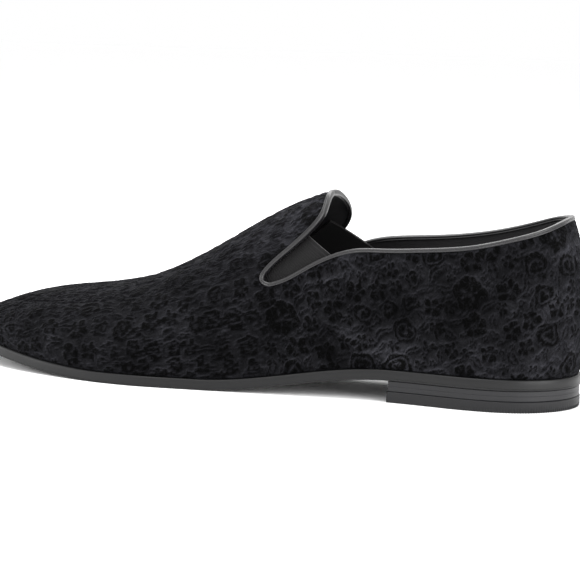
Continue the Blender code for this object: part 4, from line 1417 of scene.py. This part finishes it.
# The set
def studio():
    """Pale floor in a white room, under soft light: wide cards in front, behind, at the heel
    and at the toe, and a strip above."""
    paper, _, _ = new_material("matt_paper_sweep", {
        "Base Color": colour("ffffff"),
        "Roughness": 0.9,
        "Specular IOR Level": 0.1,
    })
    mesh = bpy.data.meshes.new("floor")
    corners = [(x * FLOOR_REACH, y * FLOOR_REACH, 0) for x, y in ((-1, -1), (1, -1), (1, 1), (-1, 1))]
    mesh.from_pydata(corners, [], [(0, 1, 2, 3)])
    mesh.materials.append(paper)
    floor = bpy.data.objects.new("floor", mesh)
    bpy.context.scene.collection.objects.link(floor)
    for name, place, aim, size, power in LIGHTS:
        lamp = bpy.data.lights.new(name, "AREA")
        lamp.shape = "RECTANGLE"
        lamp.size, lamp.size_y = size
        lamp.energy = power
        light = bpy.data.objects.new(name, lamp)
        light.location = place
        light.rotation_euler = (Vector(aim) - Vector(place)).to_track_quat("-Z", "Y").to_euler()
        bpy.context.scene.collection.objects.link(light)
    world = bpy.data.worlds.new("white_room")
    world.use_nodes = True
    room = world.node_tree.nodes["Background"]
    room.inputs["Color"].default_value = colour("ffffff")
    room.inputs["Strength"].default_value = WORLD_STRENGTH
    bpy.context.scene.world = world
    bpy.context.scene.view_settings.view_transform = "Standard"


FLOOR_REACH = 40.0
WORLD_STRENGTH = 1.0
LIGHTS = (
    # name, place, aim, size, power in watts
    ("front_card", (-0.5, -1.5, 1.0), (-0.1, 0.0, 0.04), (1.6, 1.0), 7.0),
    ("top_strip", (-0.3, -0.1, 1.4), (-0.1, 0.0, 0.04), (1.2, 0.6), 17.0),
    ("back_strip", (-0.1, 1.2, 0.9), (-0.1, 0.0, 0.06), (1.6, 0.5), 10.0),
    ("heel_card", (1.0, -0.45, 0.45), (0.03, 0.0, 0.04), (0.8, 0.9), 13.0),
    ("toe_card", (-1.1, -0.4, 0.3), (-0.25, 0.0, 0.03), (0.6, 0.4), 4.0),
)

# The camera: distance, height and turn round its aim, roll, and lens on a 36 mm sensor
CAMERA_DISTANCE = 0.9002
CAMERA_HEIGHT = 0.164
CAMERA_TURN = 17.6
CAMERA_AIM = (-0.096, 0.0, 0.04378)
CAMERA_ROLL = 1.938
CAMERA_LENS = 118.4
CAMERA_SENSOR = 36.0
CAMERA_SIGHT = 20.0


def photo_camera():
    """Camera at the photograph's angle, level but for its small roll."""
    aim = Vector(CAMERA_AIM)
    turn = np.radians(CAMERA_TURN)
    place = Vector((aim.x + CAMERA_DISTANCE * np.sin(turn), -CAMERA_DISTANCE * np.cos(turn),
                    CAMERA_HEIGHT))
    ahead = (aim - place).normalized()
    right = ahead.cross(Vector((0, 0, 1))).normalized()
    above = right.cross(ahead)
    roll = np.radians(CAMERA_ROLL)
    tilted_right = right * np.cos(roll) + above * np.sin(roll)
    tilted_above = above * np.cos(roll) - right * np.sin(roll)
    data = bpy.data.cameras.new("photo_camera")
    data.sensor_width = CAMERA_SENSOR
    data.lens = CAMERA_LENS
    data.clip_end = CAMERA_SIGHT
    camera = bpy.data.objects.new("photo_camera", data)
    bpy.context.scene.collection.objects.link(camera)
    camera.matrix_world = Matrix((
        (tilted_right.x, tilted_above.x, -ahead.x, place.x),
        (tilted_right.y, tilted_above.y, -ahead.y, place.y),
        (tilted_right.z, tilted_above.z, -ahead.z, place.z),
        (0, 0, 0, 1),
    ))
    bpy.context.scene.camera = camera


def dress():
    """Every piece of the shoe, then its set."""
    velvet = velvet_material()
    velvet_pieces(velvet)
    wall_strip(velvet)
    lining_piece(leather_material("lining_pigskin", base="121113", roughness=0.6, grain_mm=0.8, depth=0.3))
    binding_piece(leather_material("binding_calf", base="111012", roughness=0.34, grain_mm=0.45, depth=0.20))
    stitch_piece(thread_material())
    gore_piece("gore_web_outer", -1, elastic_material("elastic_webbing", base="0a090a"), "gore_outer")
    # The inner webbing is painted a shade lighter: painted light for the light that reaches inside the
    # opening
    gore_piece("gore_web_inner", 1, elastic_material("elastic_webbing_inner_painted_lighter", base="1a191a"), "gore_inner")
    insole_piece(leather_material("sock_calf", base="1c1b1d", roughness=0.55, grain_mm=0.6, depth=0.3))
    outsole_piece(rubber_material("moulded_sole_rubber", base="0d0d0e", roughness=0.45,
                                  tread_per_metre=TREAD_PER_METRE))
    heel_block_piece(rubber_material("heel_lift_rubber", base="1d1d1f", roughness=0.45))
    top_piece(rubber_material("top_piece_rubber", base="141416", roughness=0.50,
                              tread_per_metre=TREAD_PER_METRE))
    studio()
    photo_camera()


dress()
